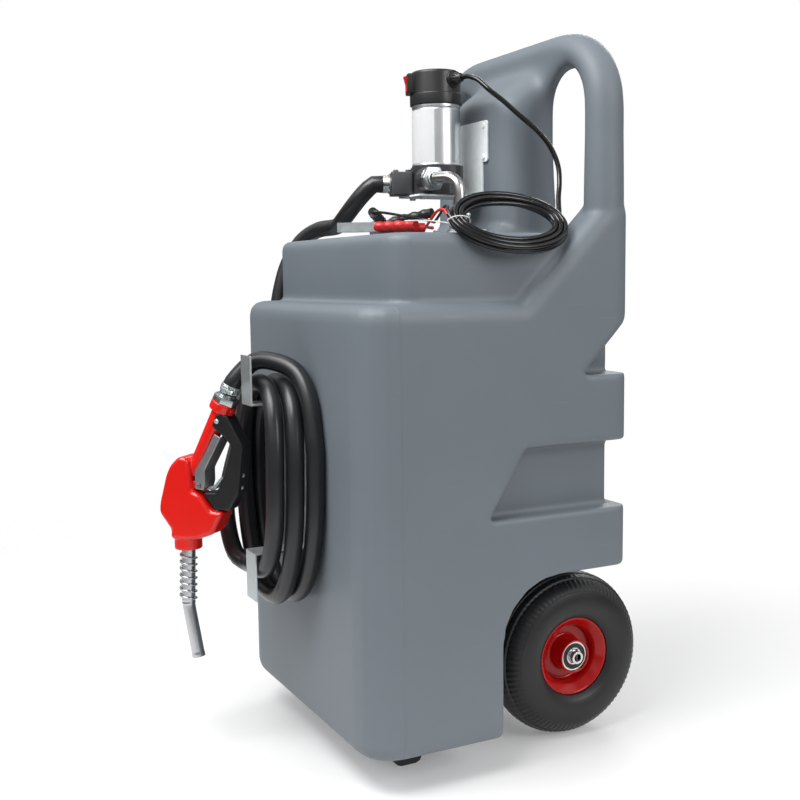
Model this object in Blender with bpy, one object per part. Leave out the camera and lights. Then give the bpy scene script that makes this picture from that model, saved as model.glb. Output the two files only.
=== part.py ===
"""Fuel caddy: a rotomoulded 120 litre tank on two pneumatic wheels.

A 12 volt transfer pump stands on the tank, its delivery hose is wound on a cleat on the front
face and ends in a hand nozzle, and its battery lead lies coiled over the tank's shoulder.
Units are metres, +Z is up and -Y is the front. While the caddy is built, y = 0 is the tank's
front face and z = 0 is the ground. At the end it is centred over the origin.
"""

import math

import bmesh
import bpy
from mathutils import Matrix, Vector

# Tank: the rotomoulded body
TANK_WIDTH = 0.496
TANK_DEPTH = 0.437
TANK_BASE_Z = 0.050
TANK_WALL = 0.006
LEDGE_Z = 0.687
DECK_Z = 0.785
SLOPE_RUN = 0.187
SLOPE_START_Y = TANK_DEPTH - SLOPE_RUN
SLOPE_TOP_Z = 0.835
CORNER_RADIUS = 0.054
RIM_RADIUS = 0.022
TURRET_WIDTH = 0.450
TURRET_SETBACK = 0.056
TURRET_BACK_INSET = 0.065
TURRET_BACK_Y = TANK_DEPTH - TURRET_BACK_INSET
TURRET_CORNER_RADIUS = 0.040
TURRET_RIM_RADIUS = 0.014

# Tank: the pillar and the handle
PILLAR_WIDTH = 0.200
PILLAR_DEPTH = 0.094
PILLAR_BACK_INSET = 0.031
PILLAR_BACK_Y = TANK_DEPTH - PILLAR_BACK_INSET
PILLAR_FRONT_Y = PILLAR_BACK_Y - PILLAR_DEPTH
PILLAR_CORNER_RADIUS = 0.044
PILLAR_SHOULDER_Z = 0.9945
PILLAR_SHOULDER_RISE = 0.0455
PILLAR_SHOULDER_RUN = 0.063
PILLAR_SKIRT = 0.022
WEB_DEPTH = 0.026
WEB_BACK_INSET = 0.0315
WEB_BACK_Y = TANK_DEPTH - WEB_BACK_INSET
WEB_FLARE = 0.075
WEB_FLARE_HEIGHT = 0.060
HANDLE_TOP_Z = 1.090
HANDLE_CORNER_RADIUS = 0.120
HANDLE_DEPTH = 0.061
POST_WIDTH = 0.058
BAR_HEIGHT = 0.050
HANDLE_SIDES = 14

# Tank: grooves round the back, wheel wells and holes
GROOVE_DEPTH = 0.026
UPPER_GROOVE_Z = (0.578, 0.664)
UPPER_GROOVE_RUN = 0.086
UPPER_GROOVE_NOSE_Y = TANK_DEPTH - UPPER_GROOVE_RUN
LOWER_GROOVE_Z = (0.378, 0.478)
LOWER_GROOVE_RUNS = (0.246, 0.184)
LOWER_GROOVE_NOSE_Y = [TANK_DEPTH - run for run in LOWER_GROOVE_RUNS]
WELL_RUN = 0.222
WELL_FRONT_Y = TANK_DEPTH - WELL_RUN
WELL_TOP_Z = 0.286
WELL_RADIUS = 0.095
KEEL_WIDTH = 0.190
KEEL_BACK_INSET = 0.0415
KEEL_BACK_Y = TANK_DEPTH - KEEL_BACK_INSET
FILLER_X = -0.125
FILLER_BACK_INSET = 0.192
FILLER_Y = TANK_DEPTH - FILLER_BACK_INSET
FILLER_HOLE_RADIUS = 0.0313
SUCTION_HOLE_RADIUS = 0.013

# Foot under the front of the tank
FOOT_LENGTH = 0.300
FOOT_DEPTH = 0.045
FOOT_FRONT_Y = 0.085
FOOT_RADIUS = 0.010

# Wheels and axle
TYRE_RADIUS = 0.130
TYRE_WIDTH = 0.085
TYRE_BEAD_RADIUS = 0.0625
LUG_HEIGHT = 0.0022
LUG_COUNT = 20
WHEEL_BACK_INSET = 0.052
WHEEL_Y = TANK_DEPTH - WHEEL_BACK_INSET
WHEEL_X = 0.1490
RIM_LIP_RADIUS = 0.0615
RIM_BOWL_RADIUS = 0.0475
RIM_HALF_WIDTH = 0.0310
RIM_SHEET = 0.0025
HUB_HALF_LENGTH = 0.0340
BEARING_RADIUS = 0.0235
BEARING_WIDTH = 0.014
BEARING_FACE = 0.0030
SEAL_DEPTH = 0.0012
AXLE_RADIUS = 0.0100
AXLE_BORE_RADIUS = 0.0060
AXLE_OVERHANG = 0.0070
COLLAR_RADIUS = 0.0140
SLEEVE_RADIUS = 0.0130
PIN_RADIUS = 0.0018
PIN_LENGTH = 0.026
STRAP_WIDTH = 0.040
STRAP_HEIGHT = 0.070
STRAP_SHEET = 0.003
STRAP_X = 0.060

# Pump on its bracket
PUMP_REACH = 0.066
PUMP_Y = PILLAR_FRONT_Y - PUMP_REACH
BRACKET_PLATE_WIDTH = 0.100
BRACKET_PLATE_Z = (0.902, 0.966)
BRACKET_NECK_WIDTH = 0.070
BRACKET_SHEET = 0.003
SHELF_OVERHANG = 0.050
SHELF_FRONT_Y = PUMP_Y - SHELF_OVERHANG
SHELF_WIDTH = 0.070
SHELF_TOP_Z = 0.8508
HEAD_HEIGHT = 0.0440
HEAD_WIDTH = 0.086
HEAD_DEPTH = 0.079
HEAD_RADIUS = 0.026
CAN_RADIUS = 0.0380
CAN_HEIGHT = 0.0940
CAN_CRIMP = 0.0012
CAP_RADIUS = 0.0410
CAP_LOWER_HEIGHT = 0.0165
CAP_UPPER_HEIGHT = 0.0350
CAP_STEP = 0.0020
CAP_EDGE_RADIUS = 0.004
SWITCH_Z_SHARE = 0.46
SWITCH_TURN = math.radians(-20)
SWITCH_WIDTH = 0.030
SWITCH_HEIGHT = 0.031
SWITCH_REACH = 0.0465
SWITCH_RIB = 0.0025
ROCKER_WIDTH = 0.014
ROCKER_HEIGHT = 0.024
ROCKER_REACH = 0.0045
ROCKER_WELL = 0.0060
GLAND_Z_SHARE = 0.58
GLAND_ANGLE = math.radians(16)
GLAND_FLANGE_RADIUS = 0.0135
GLAND_NUT_RADIUS = 0.0090
GLAND_LENGTH = 0.022

# Outlet and hose tail on the pump
OUTLET_WIDTH = 0.042
OUTLET_DEPTH = 0.034
OUTLET_HEIGHT = 0.036
OUTLET_RADIUS = 0.003
OUTLET_TURN = math.radians(-20)
BARB_RADIUS = 0.0130
BARB_LENGTH = 0.012
BARB_RIB = 0.0012

# Suction line from the tank to the pump
INLET_SETBACK = 0.034
INLET_Y = PUMP_Y - INLET_SETBACK
NUT_ACROSS = 0.034
NUT_LENGTH = 0.014
NUT_FACE_X = 0.0580
ELBOW_RADIUS = 0.0090
ELBOW_X = 0.102
ELBOW_SETBACK = 0.017
ELBOW_Y = PUMP_Y - ELBOW_SETBACK
FITTING_RADIUS = 0.0125
FITTING_HEIGHT = 0.018
FLANGE_SIZE = 0.072
FLANGE_SHEET = 0.004
FLANGE_RADIUS = 0.008
BOLT_RADIUS = 0.0050
BOLT_HEAD = 0.0040
BOLT_INSET = 0.010
SUCTION_PIPE_RADIUS = 0.0110
SUCTION_JOG_Z = (0.330, 0.420)
SUCTION_JOG = 0.064
SUCTION_FOOT_Y = ELBOW_Y - SUCTION_JOG
SUCTION_PIPE_END_Z = 0.105
STRAINER_RADIUS = 0.018
STRAINER_HEIGHT = 0.034

# Filler neck and its screw cap
NECK_RADIUS = 0.0310
NECK_BORE = 0.0265
NECK_RISE = 0.014
NECK_DROP = 0.018
NECK_FLANGE_RADIUS = 0.040
NECK_FLANGE = 0.003
FILLER_CAP_RADIUS = 0.0380
FILLER_CAP_HEIGHT = 0.024
FILLER_CAP_WALL = 0.0035
FILLER_CAP_RIBS = 18
FILLER_CAP_RIB_DEPTH = 0.0015
GASKET_WIDTH = 0.004
GASKET_HEIGHT = 0.002

# Hose cleat on the front face
CLEAT_X = 0.020
CLEAT_WIDTH = 0.040
CLEAT_SHEET = 0.003
CLEAT_LIP_RISE = 0.0700
CLEAT_LIP_Y = -0.0836

# Delivery hose
HOSE_RADIUS = 0.0135
HOSE_PITCH = 0.0276
HOSE_WALL_GAP = 0.0003
COIL_CENTRE_Z = 0.430
COIL_RISE = 0.1395
COIL_TUCK = 0.0069
COIL_DROP = 0.1825
COIL_LAST_DROP = 0.1400
COIL_HALF_WIDTH = 0.105
COIL_SHRINK = 0.009
COIL_START_TURN = 0.25
COIL_END_TURN = 2.50
LOOP_POINTS = 24
COIL_FULLNESS_SHARE = 0.82

# Nozzle, drawn in its own upright plane: across the plane and up from the ground
NOZZLE_X = -0.088
NOZZLE_Y = -0.156
NOZZLE_TURN = math.radians(45)
BODY_THICKNESS = 0.044
BODY_EDGE = 0.004
GRIP_RADIUS = 0.0138
GRIP_BOSS_RADIUS = 0.0200
GRIP_BOSS_LENGTH = 0.014
GRIP_TOP = (0.0765, 0.5400)
GRIP_FOOT = (0.0230, 0.4300)
SPOUT_COLLAR_RADIUS = 0.0215
SPOUT_AXIS = 0.0075
SPOUT_COLLAR_Z = (0.313, 0.352)
GUARD_THICKNESS = 0.030
GUARD_EDGE = 0.0015
LEVER_WIDTH = 0.0350
LEVER_SHEET = 0.0022
LEVER_PIVOT = (0.0385, 0.4150)
LUG_WIDTH = 0.028
LEVER_PIN_RADIUS = 0.0025
LEVER_PIN_LENGTH = 0.0380
LATCH_WIDTH = 0.010
LATCH_PIVOT = (0.0520, 0.4085)
ADAPTER_ACROSS = 0.034
ADAPTER_LENGTH = 0.012
ADAPTER_NECK_RADIUS = 0.0130
ADAPTER_NECK_LENGTH = 0.003
CLAMP_BAND = 0.0012
CLAMP_WIDTH = 0.012
CLAMP_SCREW_RADIUS = 0.0040
CLAMP_SCREW_LENGTH = 0.014
SPOUT_RADIUS = 0.0105
SPOUT_BORE = 0.0090
SPOUT_BORE_DEPTH = 0.040
SPOUT_BEND_Z = 0.2260
SPOUT_TIP = (0.0190, 0.1420)
SPRING_WIRE_RADIUS = 0.0015
SPRING_TURNS = 7
SPRING_Z = (0.232, 0.306)
SPRING_POINTS = 8

# Battery lead, its coil and its two clamps
LEAD_RADIUS = 0.00375
LEAD_PITCH = 0.0081
LEAD_COIL_CENTRE = (0.2135, 0.245, 0.8010)
LEAD_COIL_LONG = 0.095
LEAD_COIL_SHORT = 0.060
LEAD_COIL_TILT = math.radians(45)
LEAD_COIL_TURNS = 5.5
WIRE_RADIUS = 0.0020
JAW_LENGTH = 0.052
JAW_WIDTH = 0.014
JAW_SHEET = 0.0015
JAW_DEPTH = 0.0075
HANDLE_LENGTH = 0.072
HANDLE_SPLAY = math.radians(32)
GRIP_SLEEVE_RADIUS = 0.0066
GRIP_SLEEVE_BORE = 0.0026
CLAMP_PIN_RADIUS = 0.0022
CLAMP_JAW_LAP = 0.0008

# Clearances and resolution
GAP = 0.0003
OVERRUN = 0.060
FINE_SIDES = 20
ROUND_SIDES = 16
SMALL_SIDES = 12
SHARP_ANGLE = math.radians(32)

HALF_WIDTH = TANK_WIDTH / 2
WHEEL_Z = TYRE_RADIUS
X_AXIS = Vector((1, 0, 0))
Y_AXIS = Vector((0, 1, 0))
Z_AXIS = Vector((0, 0, 1))


def clear_scene():
    for existing in list(bpy.data.objects):
        bpy.data.objects.remove(existing)


def make_material(name, colour, roughness, metallic=0.0):
    material = bpy.data.materials.new(name)
    material.use_nodes = True
    shader = material.node_tree.nodes["Principled BSDF"]
    shader.inputs["Base Color"].default_value = (*colour, 1)
    shader.inputs["Roughness"].default_value = roughness
    shader.inputs["Metallic"].default_value = metallic
    return material


def make_materials():
    return {
        "tank": make_material("grey_polyethylene", (0.16, 0.19, 0.23), 0.55),
        "rubber": make_material("black_rubber", (0.02, 0.02, 0.02), 0.75),
        "black": make_material("black_plastic", (0.025, 0.025, 0.027), 0.45),
        "head": make_material("black_casting", (0.05, 0.05, 0.055), 0.55),
        "red_paint": make_material("red_paint", (0.60, 0.01, 0.01), 0.25),
        "red": make_material("red_plastic", (0.75, 0.03, 0.03), 0.35),
        "zinc": make_material("zinc_plate", (0.68, 0.72, 0.72), 0.35, 1.0),
        "steel": make_material("bright_steel", (0.70, 0.68, 0.66), 0.22, 1.0),
        "lever": make_material("grey_lever", (0.16, 0.16, 0.16), 0.35, 0.4),
    }


def add_object(name, mesh, material, pivot=(0, 0, 0)):
    """Put a mesh that is drawn in the caddy's frame into the scene, with its origin at pivot."""
    mesh.transform(Matrix.Translation(-Vector(pivot)))
    mesh.shade_smooth()
    mesh.set_sharp_from_angle(angle=SHARP_ANGLE)
    thing = bpy.data.objects.new(name, mesh)
    bpy.context.scene.collection.objects.link(thing)
    thing.location = pivot
    if material:
        mesh.materials.append(material)
    return thing


def finish_mesh(bm, name):
    bmesh.ops.recalc_face_normals(bm, faces=bm.faces)
    mesh = bpy.data.meshes.new(name)
    bm.to_mesh(mesh)
    bm.free()
    return mesh


def combine(target, tool, operation):
    """Add a Boolean modifier to target and hide its tool."""
    modifier = target.modifiers.new(operation.lower(), "BOOLEAN")
    modifier.operation = operation
    modifier.object = tool
    modifier.solver = "EXACT"
    tool.hide_render = True
    tool.display_type = "WIRE"


def cut(target, tool):
    combine(target, tool, "DIFFERENCE")


def join(target, tool):
    combine(target, tool, "UNION")


def place_axes(axis):
    """The two in-plane directions for an outline that is extruded along axis."""
    if axis == "X":
        return Y_AXIS, Z_AXIS, X_AXIS
    if axis == "Y":
        return X_AXIS, Z_AXIS, Y_AXIS
    return X_AXIS, Y_AXIS, Z_AXIS


def prism_mesh(outline, axis, low, high):
    """Extrude an outline of (u, v) points along an axis."""
    u_axis, v_axis, normal = place_axes(axis)
    bm = bmesh.new()
    rings = []
    for level in (low, high):
        rings.append([bm.verts.new(u * u_axis + v * v_axis + level * normal) for u, v in outline])
    count = len(outline)
    bm.faces.new(rings[0][::-1])
    bm.faces.new(rings[1])
    for i in range(count):
        j = (i + 1) % count
        bm.faces.new((rings[0][i], rings[0][j], rings[1][j], rings[1][i]))
    return bm


def prism(name, outline, axis, low, high, material=None, bevel=0.0, pivot=(0, 0, 0)):
    bm = prism_mesh(outline, axis, low, high)
    bmesh.ops.recalc_face_normals(bm, faces=bm.faces)
    if bevel:
        bmesh.ops.bevel(bm, geom=list(bm.edges), offset=bevel, segments=2, profile=0.5,
                        affect="EDGES")
    return add_object(name, finish_mesh(bm, name), material, pivot)


def rounded_outline(corners, steps=4):
    """Round each (u, v, radius) corner of a closed outline with an arc."""
    outline = []
    count = len(corners)
    for i, (u, v, radius) in enumerate(corners):
        here = Vector((u, v))
        if radius == 0:
            outline.append((u, v))
            continue
        before = (Vector(corners[i - 1][:2]) - here).normalized()
        after = (Vector(corners[(i + 1) % count][:2]) - here).normalized()
        half_angle = before.angle(after) / 2
        centre = here + (before + after).normalized() * (radius / math.sin(half_angle))
        start = here + before * (radius / math.tan(half_angle)) - centre
        end = here + after * (radius / math.tan(half_angle)) - centre
        turn = start.angle_signed(end)
        for step in range(steps + 1):
            outline.append(tuple(centre + Matrix.Rotation(-turn * step / steps, 2) @ start))
    return outline


def rectangle(u_low, u_high, v_low, v_high, radius=0.0, steps=3):
    corners = ((u_low, v_low), (u_high, v_low), (u_high, v_high), (u_low, v_high))
    return rounded_outline([(u, v, radius) for u, v in corners], steps)


def grown_outline(outline, distance):
    """Offset a closed anticlockwise outline outwards by distance, mitred at its corners."""
    grown = []
    count = len(outline)
    for i in range(count):
        here = Vector(outline[i])
        back = (here - Vector(outline[i - 1])).normalized()
        on = (Vector(outline[(i + 1) % count]) - here).normalized()
        normal_back = Vector((back.y, -back.x))
        normal_on = Vector((on.y, -on.x))
        mitre = (normal_back + normal_on).normalized()
        grown.append(tuple(here + mitre * (distance / mitre.dot(normal_on))))
    return grown


def axis_matrix(centre, direction):
    """A frame at centre whose z axis runs along direction."""
    turn = Vector(direction).to_track_quat("Z", "Y").to_matrix().to_4x4()
    return Matrix.Translation(Vector(centre)) @ turn


def lathe_mesh(profile, sides, radius_at=None):
    """Turn a closed profile of (radius, height) points about z. Radius 0 closes on the axis."""
    bm = bmesh.new()
    rings = []
    for index, (radius, height) in enumerate(profile):
        if radius == 0:
            rings.append([bm.verts.new((0, 0, height))])
            continue
        ring = []
        for side in range(sides):
            angle = 2 * math.pi * side / sides
            reach = radius_at(index, side, radius) if radius_at else radius
            ring.append(bm.verts.new((reach * math.cos(angle), reach * math.sin(angle), height)))
        rings.append(ring)
    closed = profile[0][0] > 0
    pairs = list(zip(rings, rings[1:]))
    if closed:
        pairs.append((rings[-1], rings[0]))
    for lower, upper in pairs:
        for side in range(sides):
            after = (side + 1) % sides
            if len(lower) == 1:
                bm.faces.new((lower[0], upper[after], upper[side]))
            elif len(upper) == 1:
                bm.faces.new((lower[side], lower[after], upper[0]))
            else:
                bm.faces.new((lower[side], lower[after], upper[after], upper[side]))
    return bm


def lathe(name, profile, centre, direction, material=None, sides=ROUND_SIDES, pivot=(0, 0, 0),
          radius_at=None):
    bm = lathe_mesh(profile, sides, radius_at)
    bmesh.ops.transform(bm, matrix=axis_matrix(centre, direction), verts=bm.verts)
    return add_object(name, finish_mesh(bm, name), material, pivot)


def cylinder(name, radius, start, end, material=None, sides=ROUND_SIDES, pivot=(0, 0, 0)):
    run = Vector(end) - Vector(start)
    profile = ((0, 0), (radius, 0), (radius, run.length), (0, run.length))
    return lathe(name, profile, start, run, material, sides, pivot)


def ring_profile(bore, radius, low, high):
    return ((bore, low), (radius, low), (radius, high), (bore, high))


def sweep(name, stations, sides, material=None, pivot=(0, 0, 0)):
    """Loft rings along a path. A station is (centre, tangent, across, half_across, half_deep)."""
    bm = bmesh.new()
    rings = []
    for centre, tangent, across, half_across, half_deep in stations:
        side_way = Vector(across).normalized()
        deep_way = Vector(tangent).normalized().cross(side_way)
        ring = []
        for side in range(sides):
            angle = 2 * math.pi * (side + 0.5) / sides
            offset = side_way * (half_across * math.cos(angle)) + deep_way * (half_deep * math.sin(angle))
            ring.append(bm.verts.new(Vector(centre) + offset))
        rings.append(ring)
    bm.faces.new(rings[0][::-1])
    bm.faces.new(rings[-1])
    for lower, upper in zip(rings, rings[1:]):
        for side in range(sides):
            after = (side + 1) % sides
            bm.faces.new((lower[side], lower[after], upper[after], upper[side]))
    return add_object(name, finish_mesh(bm, name), material, pivot)


def smooth_route(route, spacing):
    """Points every spacing or so along a Catmull-Rom curve, with both end stretches straight."""
    points = [Vector(point) for point in route]
    fine = []
    for a, b, c, d in zip(points, points[1:], points[2:], points[3:]):
        for step in range(12):
            t = step / 12
            fine.append(0.5 * (2 * b + (c - a) * t + (2 * a - 5 * b + 4 * c - d) * t ** 2
                               + (3 * b - a - 3 * c + d) * t ** 3))
    fine.append(points[-2])
    length = route_length(fine)
    steps = max(2, round(length / spacing))
    even = [points[0], fine[0]]
    travelled = 0.0
    target = 1
    for first, second in zip(fine, fine[1:]):
        run = (second - first).length
        while target < steps and travelled + run >= target * length / steps:
            even.append(first.lerp(second, (target * length / steps - travelled) / run))
            target += 1
        travelled += run
    return even + [fine[-1], points[-1]]


def route_length(points):
    return sum((b - a).length for a, b in zip(points, points[1:]))


def tube(name, points, radius, resolution, material):
    """A round cord along its points, as a poly curve with filled ends."""
    curve = bpy.data.curves.new(name, "CURVE")
    curve.dimensions = "3D"
    curve.bevel_depth = radius
    curve.bevel_resolution = resolution
    curve.resolution_u = 1
    curve.render_resolution_u = 0
    curve.use_fill_caps = True
    spline = curve.splines.new("POLY")
    spline.points.add(len(points) - 1)
    for spot, point in zip(spline.points, points):
        spot.co = (*point, 1)
    spline.use_smooth = True
    curve.materials.append(material)
    thing = bpy.data.objects.new(name, curve)
    bpy.context.scene.collection.objects.link(thing)
    return thing


def least_self_gap(points, radius, apart):
    """Smallest clear distance between stretches that lie more than apart along the tube."""
    runs = [0.0]
    for first, second in zip(points, points[1:]):
        runs.append(runs[-1] + (second - first).length)
    least = math.inf
    for i, first in enumerate(points):
        for j in range(i + 1, len(points)):
            if runs[j] - runs[i] > apart:
                least = min(least, (points[j] - first).length)
    return least - 2 * radius


def tank_side_outline(inset):
    """Side view of the main block, from the front face round to the back, shrunk by inset."""
    front = inset
    back = TANK_DEPTH - inset
    base = TANK_BASE_Z + inset
    ledge = LEDGE_Z - inset
    top = SLOPE_TOP_Z - inset
    slope_foot = SLOPE_START_Y + inset * math.tan(math.pi / 8)
    slope_head = slope_foot + top - ledge
    return ((front, base), (back, base), (back, top), (slope_head, top), (slope_foot, ledge),
            (front, ledge))


def bevel_edges(bm, chosen, offset, segments):
    edges = [edge for edge in bm.edges if chosen(edge)]
    bmesh.ops.bevel(bm, geom=edges, offset=offset, segments=segments, profile=0.5, affect="EDGES")


def block(name, outline, half_width, corner_radius, rim_radius, front, material=None,
          corner_segments=4, rim_segments=3):
    """A side outline extruded across, with upright front corners and then the side rims rounded."""
    bm = prism_mesh(outline, "X", -half_width, half_width)
    bmesh.ops.recalc_face_normals(bm, faces=bm.faces)

    def is_front_corner(edge):
        a, b = (vert.co for vert in edge.verts)
        return max(abs(a.y - front), abs(b.y - front)) < GAP and abs(a.x - b.x) < GAP

    def is_side_rim(edge):
        if not edge.is_manifold or not edge.is_convex:
            return False
        return edge.calc_face_angle() > math.radians(60)

    bevel_edges(bm, is_front_corner, corner_radius, corner_segments)
    bevel_edges(bm, is_side_rim, rim_radius, rim_segments)
    return add_object(name, finish_mesh(bm, name), material)


def turret_outline(inset):
    front = TURRET_SETBACK + inset
    back = TURRET_BACK_Y - inset
    top = DECK_Z - inset
    base = LEDGE_Z - RIM_RADIUS - TANK_WALL - inset
    return (front, base), (back, base), (back, top), (front, top)


def pillar_outline(inset):
    front = PILLAR_FRONT_Y + inset
    back = PILLAR_BACK_Y - inset
    base = DECK_Z - TURRET_RIM_RADIUS - inset
    shoulder = PILLAR_SHOULDER_Z - inset
    top = PILLAR_SHOULDER_Z + PILLAR_SHOULDER_RISE - inset
    return ((front - PILLAR_SKIRT, base), (back, base), (back, top),
            (front + PILLAR_SHOULDER_RUN, top), (front, shoulder),
            (front, DECK_Z + PILLAR_SKIRT), (front - PILLAR_SKIRT, DECK_Z))


def handle_stations(inset):
    """The handle's centre line: up one post, round each corner and along the bar."""
    post = POST_WIDTH / 2
    bar = BAR_HEIGHT / 2
    deep = HANDLE_DEPTH / 2 - inset
    post_x = HALF_WIDTH - post
    centre_x = HALF_WIDTH - HANDLE_CORNER_RADIUS
    centre_z = HANDLE_TOP_Z - HANDLE_CORNER_RADIUS
    handle_y = TANK_DEPTH - HANDLE_DEPTH / 2
    foot_z = DECK_Z - TURRET_RIM_RADIUS - inset
    right = [((post_x, handle_y, foot_z), Z_AXIS, X_AXIS, post - inset, deep)]
    steps = 6
    for step in range(steps + 1):
        angle = math.pi / 2 * step / steps
        half = post + (bar - post) * step / steps
        reach = HANDLE_CORNER_RADIUS - half
        outward = Vector((math.cos(angle), 0, math.sin(angle)))
        tangent = Vector((-math.sin(angle), 0, math.cos(angle)))
        spot = Vector((centre_x, handle_y, centre_z)) + outward * reach
        right.append((spot, tangent, outward, half - inset, deep))
    left = []
    for spot, tangent, outward, half, deep in reversed(right):
        mirrored = Vector((-spot[0], spot[1], spot[2]))
        left.append((mirrored, Vector((tangent[0], 0, -tangent[2])),
                     Vector((-outward[0], 0, outward[2])), half, deep))
    return right + left


def groove_outline(groove, inset):
    """Side view of a groove: straight top and bottom and a nose that leans forward and down."""
    low, high, nose_low, nose_high = groove
    slant = (nose_high - nose_low) / (high - low)
    nose = inset * math.hypot(1, slant)
    bottom = low - inset
    top = high + inset
    return ((nose_low - inset * slant - nose, bottom), (TANK_DEPTH + OVERRUN, bottom),
            (TANK_DEPTH + OVERRUN, top), (nose_high + inset * slant - nose, top))


def well_outline(inset):
    front = WELL_FRONT_Y - inset
    top = WELL_TOP_Z + inset
    return rounded_outline(((front, -OVERRUN, 0), (TANK_DEPTH + OVERRUN, -OVERRUN, 0),
                            (TANK_DEPTH + OVERRUN, top, 0), (front, top, WELL_RADIUS)), 5)


def hollow_out(target, inset, tag):
    """Cut the grooves, wheel wells, keel back and axle groove, each grown by inset."""
    wide = HALF_WIDTH + OVERRUN
    core = prism(tag + "_groove_core",
                 rectangle(-OVERRUN, TANK_DEPTH - GROOVE_DEPTH - inset, 0, LEDGE_Z), "X",
                 -HALF_WIDTH + GROOVE_DEPTH + inset, HALF_WIDTH - GROOVE_DEPTH - inset)
    rise = UPPER_GROOVE_Z[1] - UPPER_GROOVE_Z[0]
    grooves = {
        "upper": (*UPPER_GROOVE_Z, UPPER_GROOVE_NOSE_Y, UPPER_GROOVE_NOSE_Y + rise),
        "lower": (*LOWER_GROOVE_Z, *LOWER_GROOVE_NOSE_Y),
    }
    for place, groove in grooves.items():
        tool = prism(tag + "_groove_" + place, groove_outline(groove, inset), "X", -wide, wide)
        cut(tool, core)
        cut(target, tool)
    for side, sign in (("right", 1), ("left", -1)):
        inner = sign * (KEEL_WIDTH / 2 - inset)
        low, high = sorted((inner, sign * wide))
        cut(target, prism(tag + "_well_" + side, well_outline(inset), "X", low, high))
    keel = rectangle(KEEL_BACK_Y - inset, TANK_DEPTH + OVERRUN, -OVERRUN, WELL_TOP_Z + inset)
    cut(target, prism(tag + "_keel_back", keel, "X", -KEEL_WIDTH, KEEL_WIDTH))
    half = AXLE_RADIUS + 3 * GAP + inset
    groove = rounded_outline(((WHEEL_Y - half, WHEEL_Z - half, half),
                              (TANK_DEPTH + OVERRUN, WHEEL_Z - half, 0),
                              (TANK_DEPTH + OVERRUN, WHEEL_Z + half, 0),
                              (WHEEL_Y - half, WHEEL_Z + half, half)), 4)
    cut(target, prism(tag + "_axle_groove", groove, "X", -KEEL_WIDTH, KEEL_WIDTH))


def tank_form(name, inset, material=None):
    """The whole rotomoulded form: with no inset its outside, with the wall as inset its inside."""
    form = block(name, tank_side_outline(inset), HALF_WIDTH - inset, CORNER_RADIUS - inset,
                 RIM_RADIUS - inset, inset, material)
    post_inner = HALF_WIDTH - POST_WIDTH + inset
    saddle = rectangle(-OVERRUN, TANK_DEPTH + OVERRUN, DECK_Z - inset, SLOPE_TOP_Z + OVERRUN)
    cut(form, prism(name + "_saddle", saddle, "X", -post_inner, post_inner))
    hollow_out(form, inset, name)
    join(form, block(name + "_turret", turret_outline(inset), TURRET_WIDTH / 2 - inset,
                     TURRET_CORNER_RADIUS - inset, TURRET_RIM_RADIUS - inset,
                     TURRET_SETBACK + inset))
    join(form, pillar_block(name + "_pillar", inset))
    join(form, sweep(name + "_handle", handle_stations(inset), HANDLE_SIDES))
    return form


def pillar_block(name, inset):
    half = PILLAR_WIDTH / 2 - inset
    bm = prism_mesh(pillar_outline(inset), "X", -half, half)
    bmesh.ops.recalc_face_normals(bm, faces=bm.faces)

    def is_front_side(edge):
        a, b = (vert.co for vert in edge.verts)
        along_side = abs(abs(a.x) - half) < GAP and abs(a.x - b.x) < GAP
        before_back = min(a.y, b.y) < PILLAR_BACK_Y - inset - GAP
        return along_side and before_back and min(a.z, b.z) > DECK_Z - GAP and abs(a.z - b.z) > GAP

    bevel_edges(bm, is_front_side, PILLAR_CORNER_RADIUS - inset, 3)
    return add_object(name, finish_mesh(bm, name), None)


def handle_web():
    """The web that flares out of the pillar's top into the underside of the bar."""
    half = PILLAR_WIDTH / 2
    under = HANDLE_TOP_Z - BAR_HEIGHT
    top = HANDLE_TOP_Z - BAR_HEIGHT / 2
    flare = []
    steps = 5
    for step in range(steps + 1):
        angle = math.pi / 2 * step / steps
        flare.append((half + WEB_FLARE * (1 - math.cos(angle)),
                      under - WEB_FLARE_HEIGHT * (1 - math.sin(angle))))
    right = [(half, DECK_Z)] + flare + [(half + WEB_FLARE, top)]
    left = [(-x, z) for x, z in reversed(right)]
    return prism("handle_web", right + left, "Y", WEB_BACK_Y - WEB_DEPTH, WEB_BACK_Y)


def build_tank(materials):
    tank = tank_form("tank", 0, materials["tank"])
    join(tank, handle_web())
    cut(tank, tank_form("tank_inside", TANK_WALL))
    deck = (DECK_Z - TANK_WALL - OVERRUN, DECK_Z + OVERRUN)
    for name, x, y, radius in (("filler_hole", FILLER_X, FILLER_Y, FILLER_HOLE_RADIUS),
                               ("suction_hole", ELBOW_X, ELBOW_Y, SUCTION_HOLE_RADIUS)):
        cut(tank, cylinder(name, radius, (x, y, deck[0]), (x, y, deck[1])))
    outline = rectangle(FOOT_FRONT_Y, FOOT_FRONT_Y + FOOT_DEPTH, 0, TANK_BASE_Z - GAP, FOOT_RADIUS, 2)
    prism("tank_foot", outline, "X", -FOOT_LENGTH / 2, FOOT_LENGTH / 2, materials["rubber"])


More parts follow.
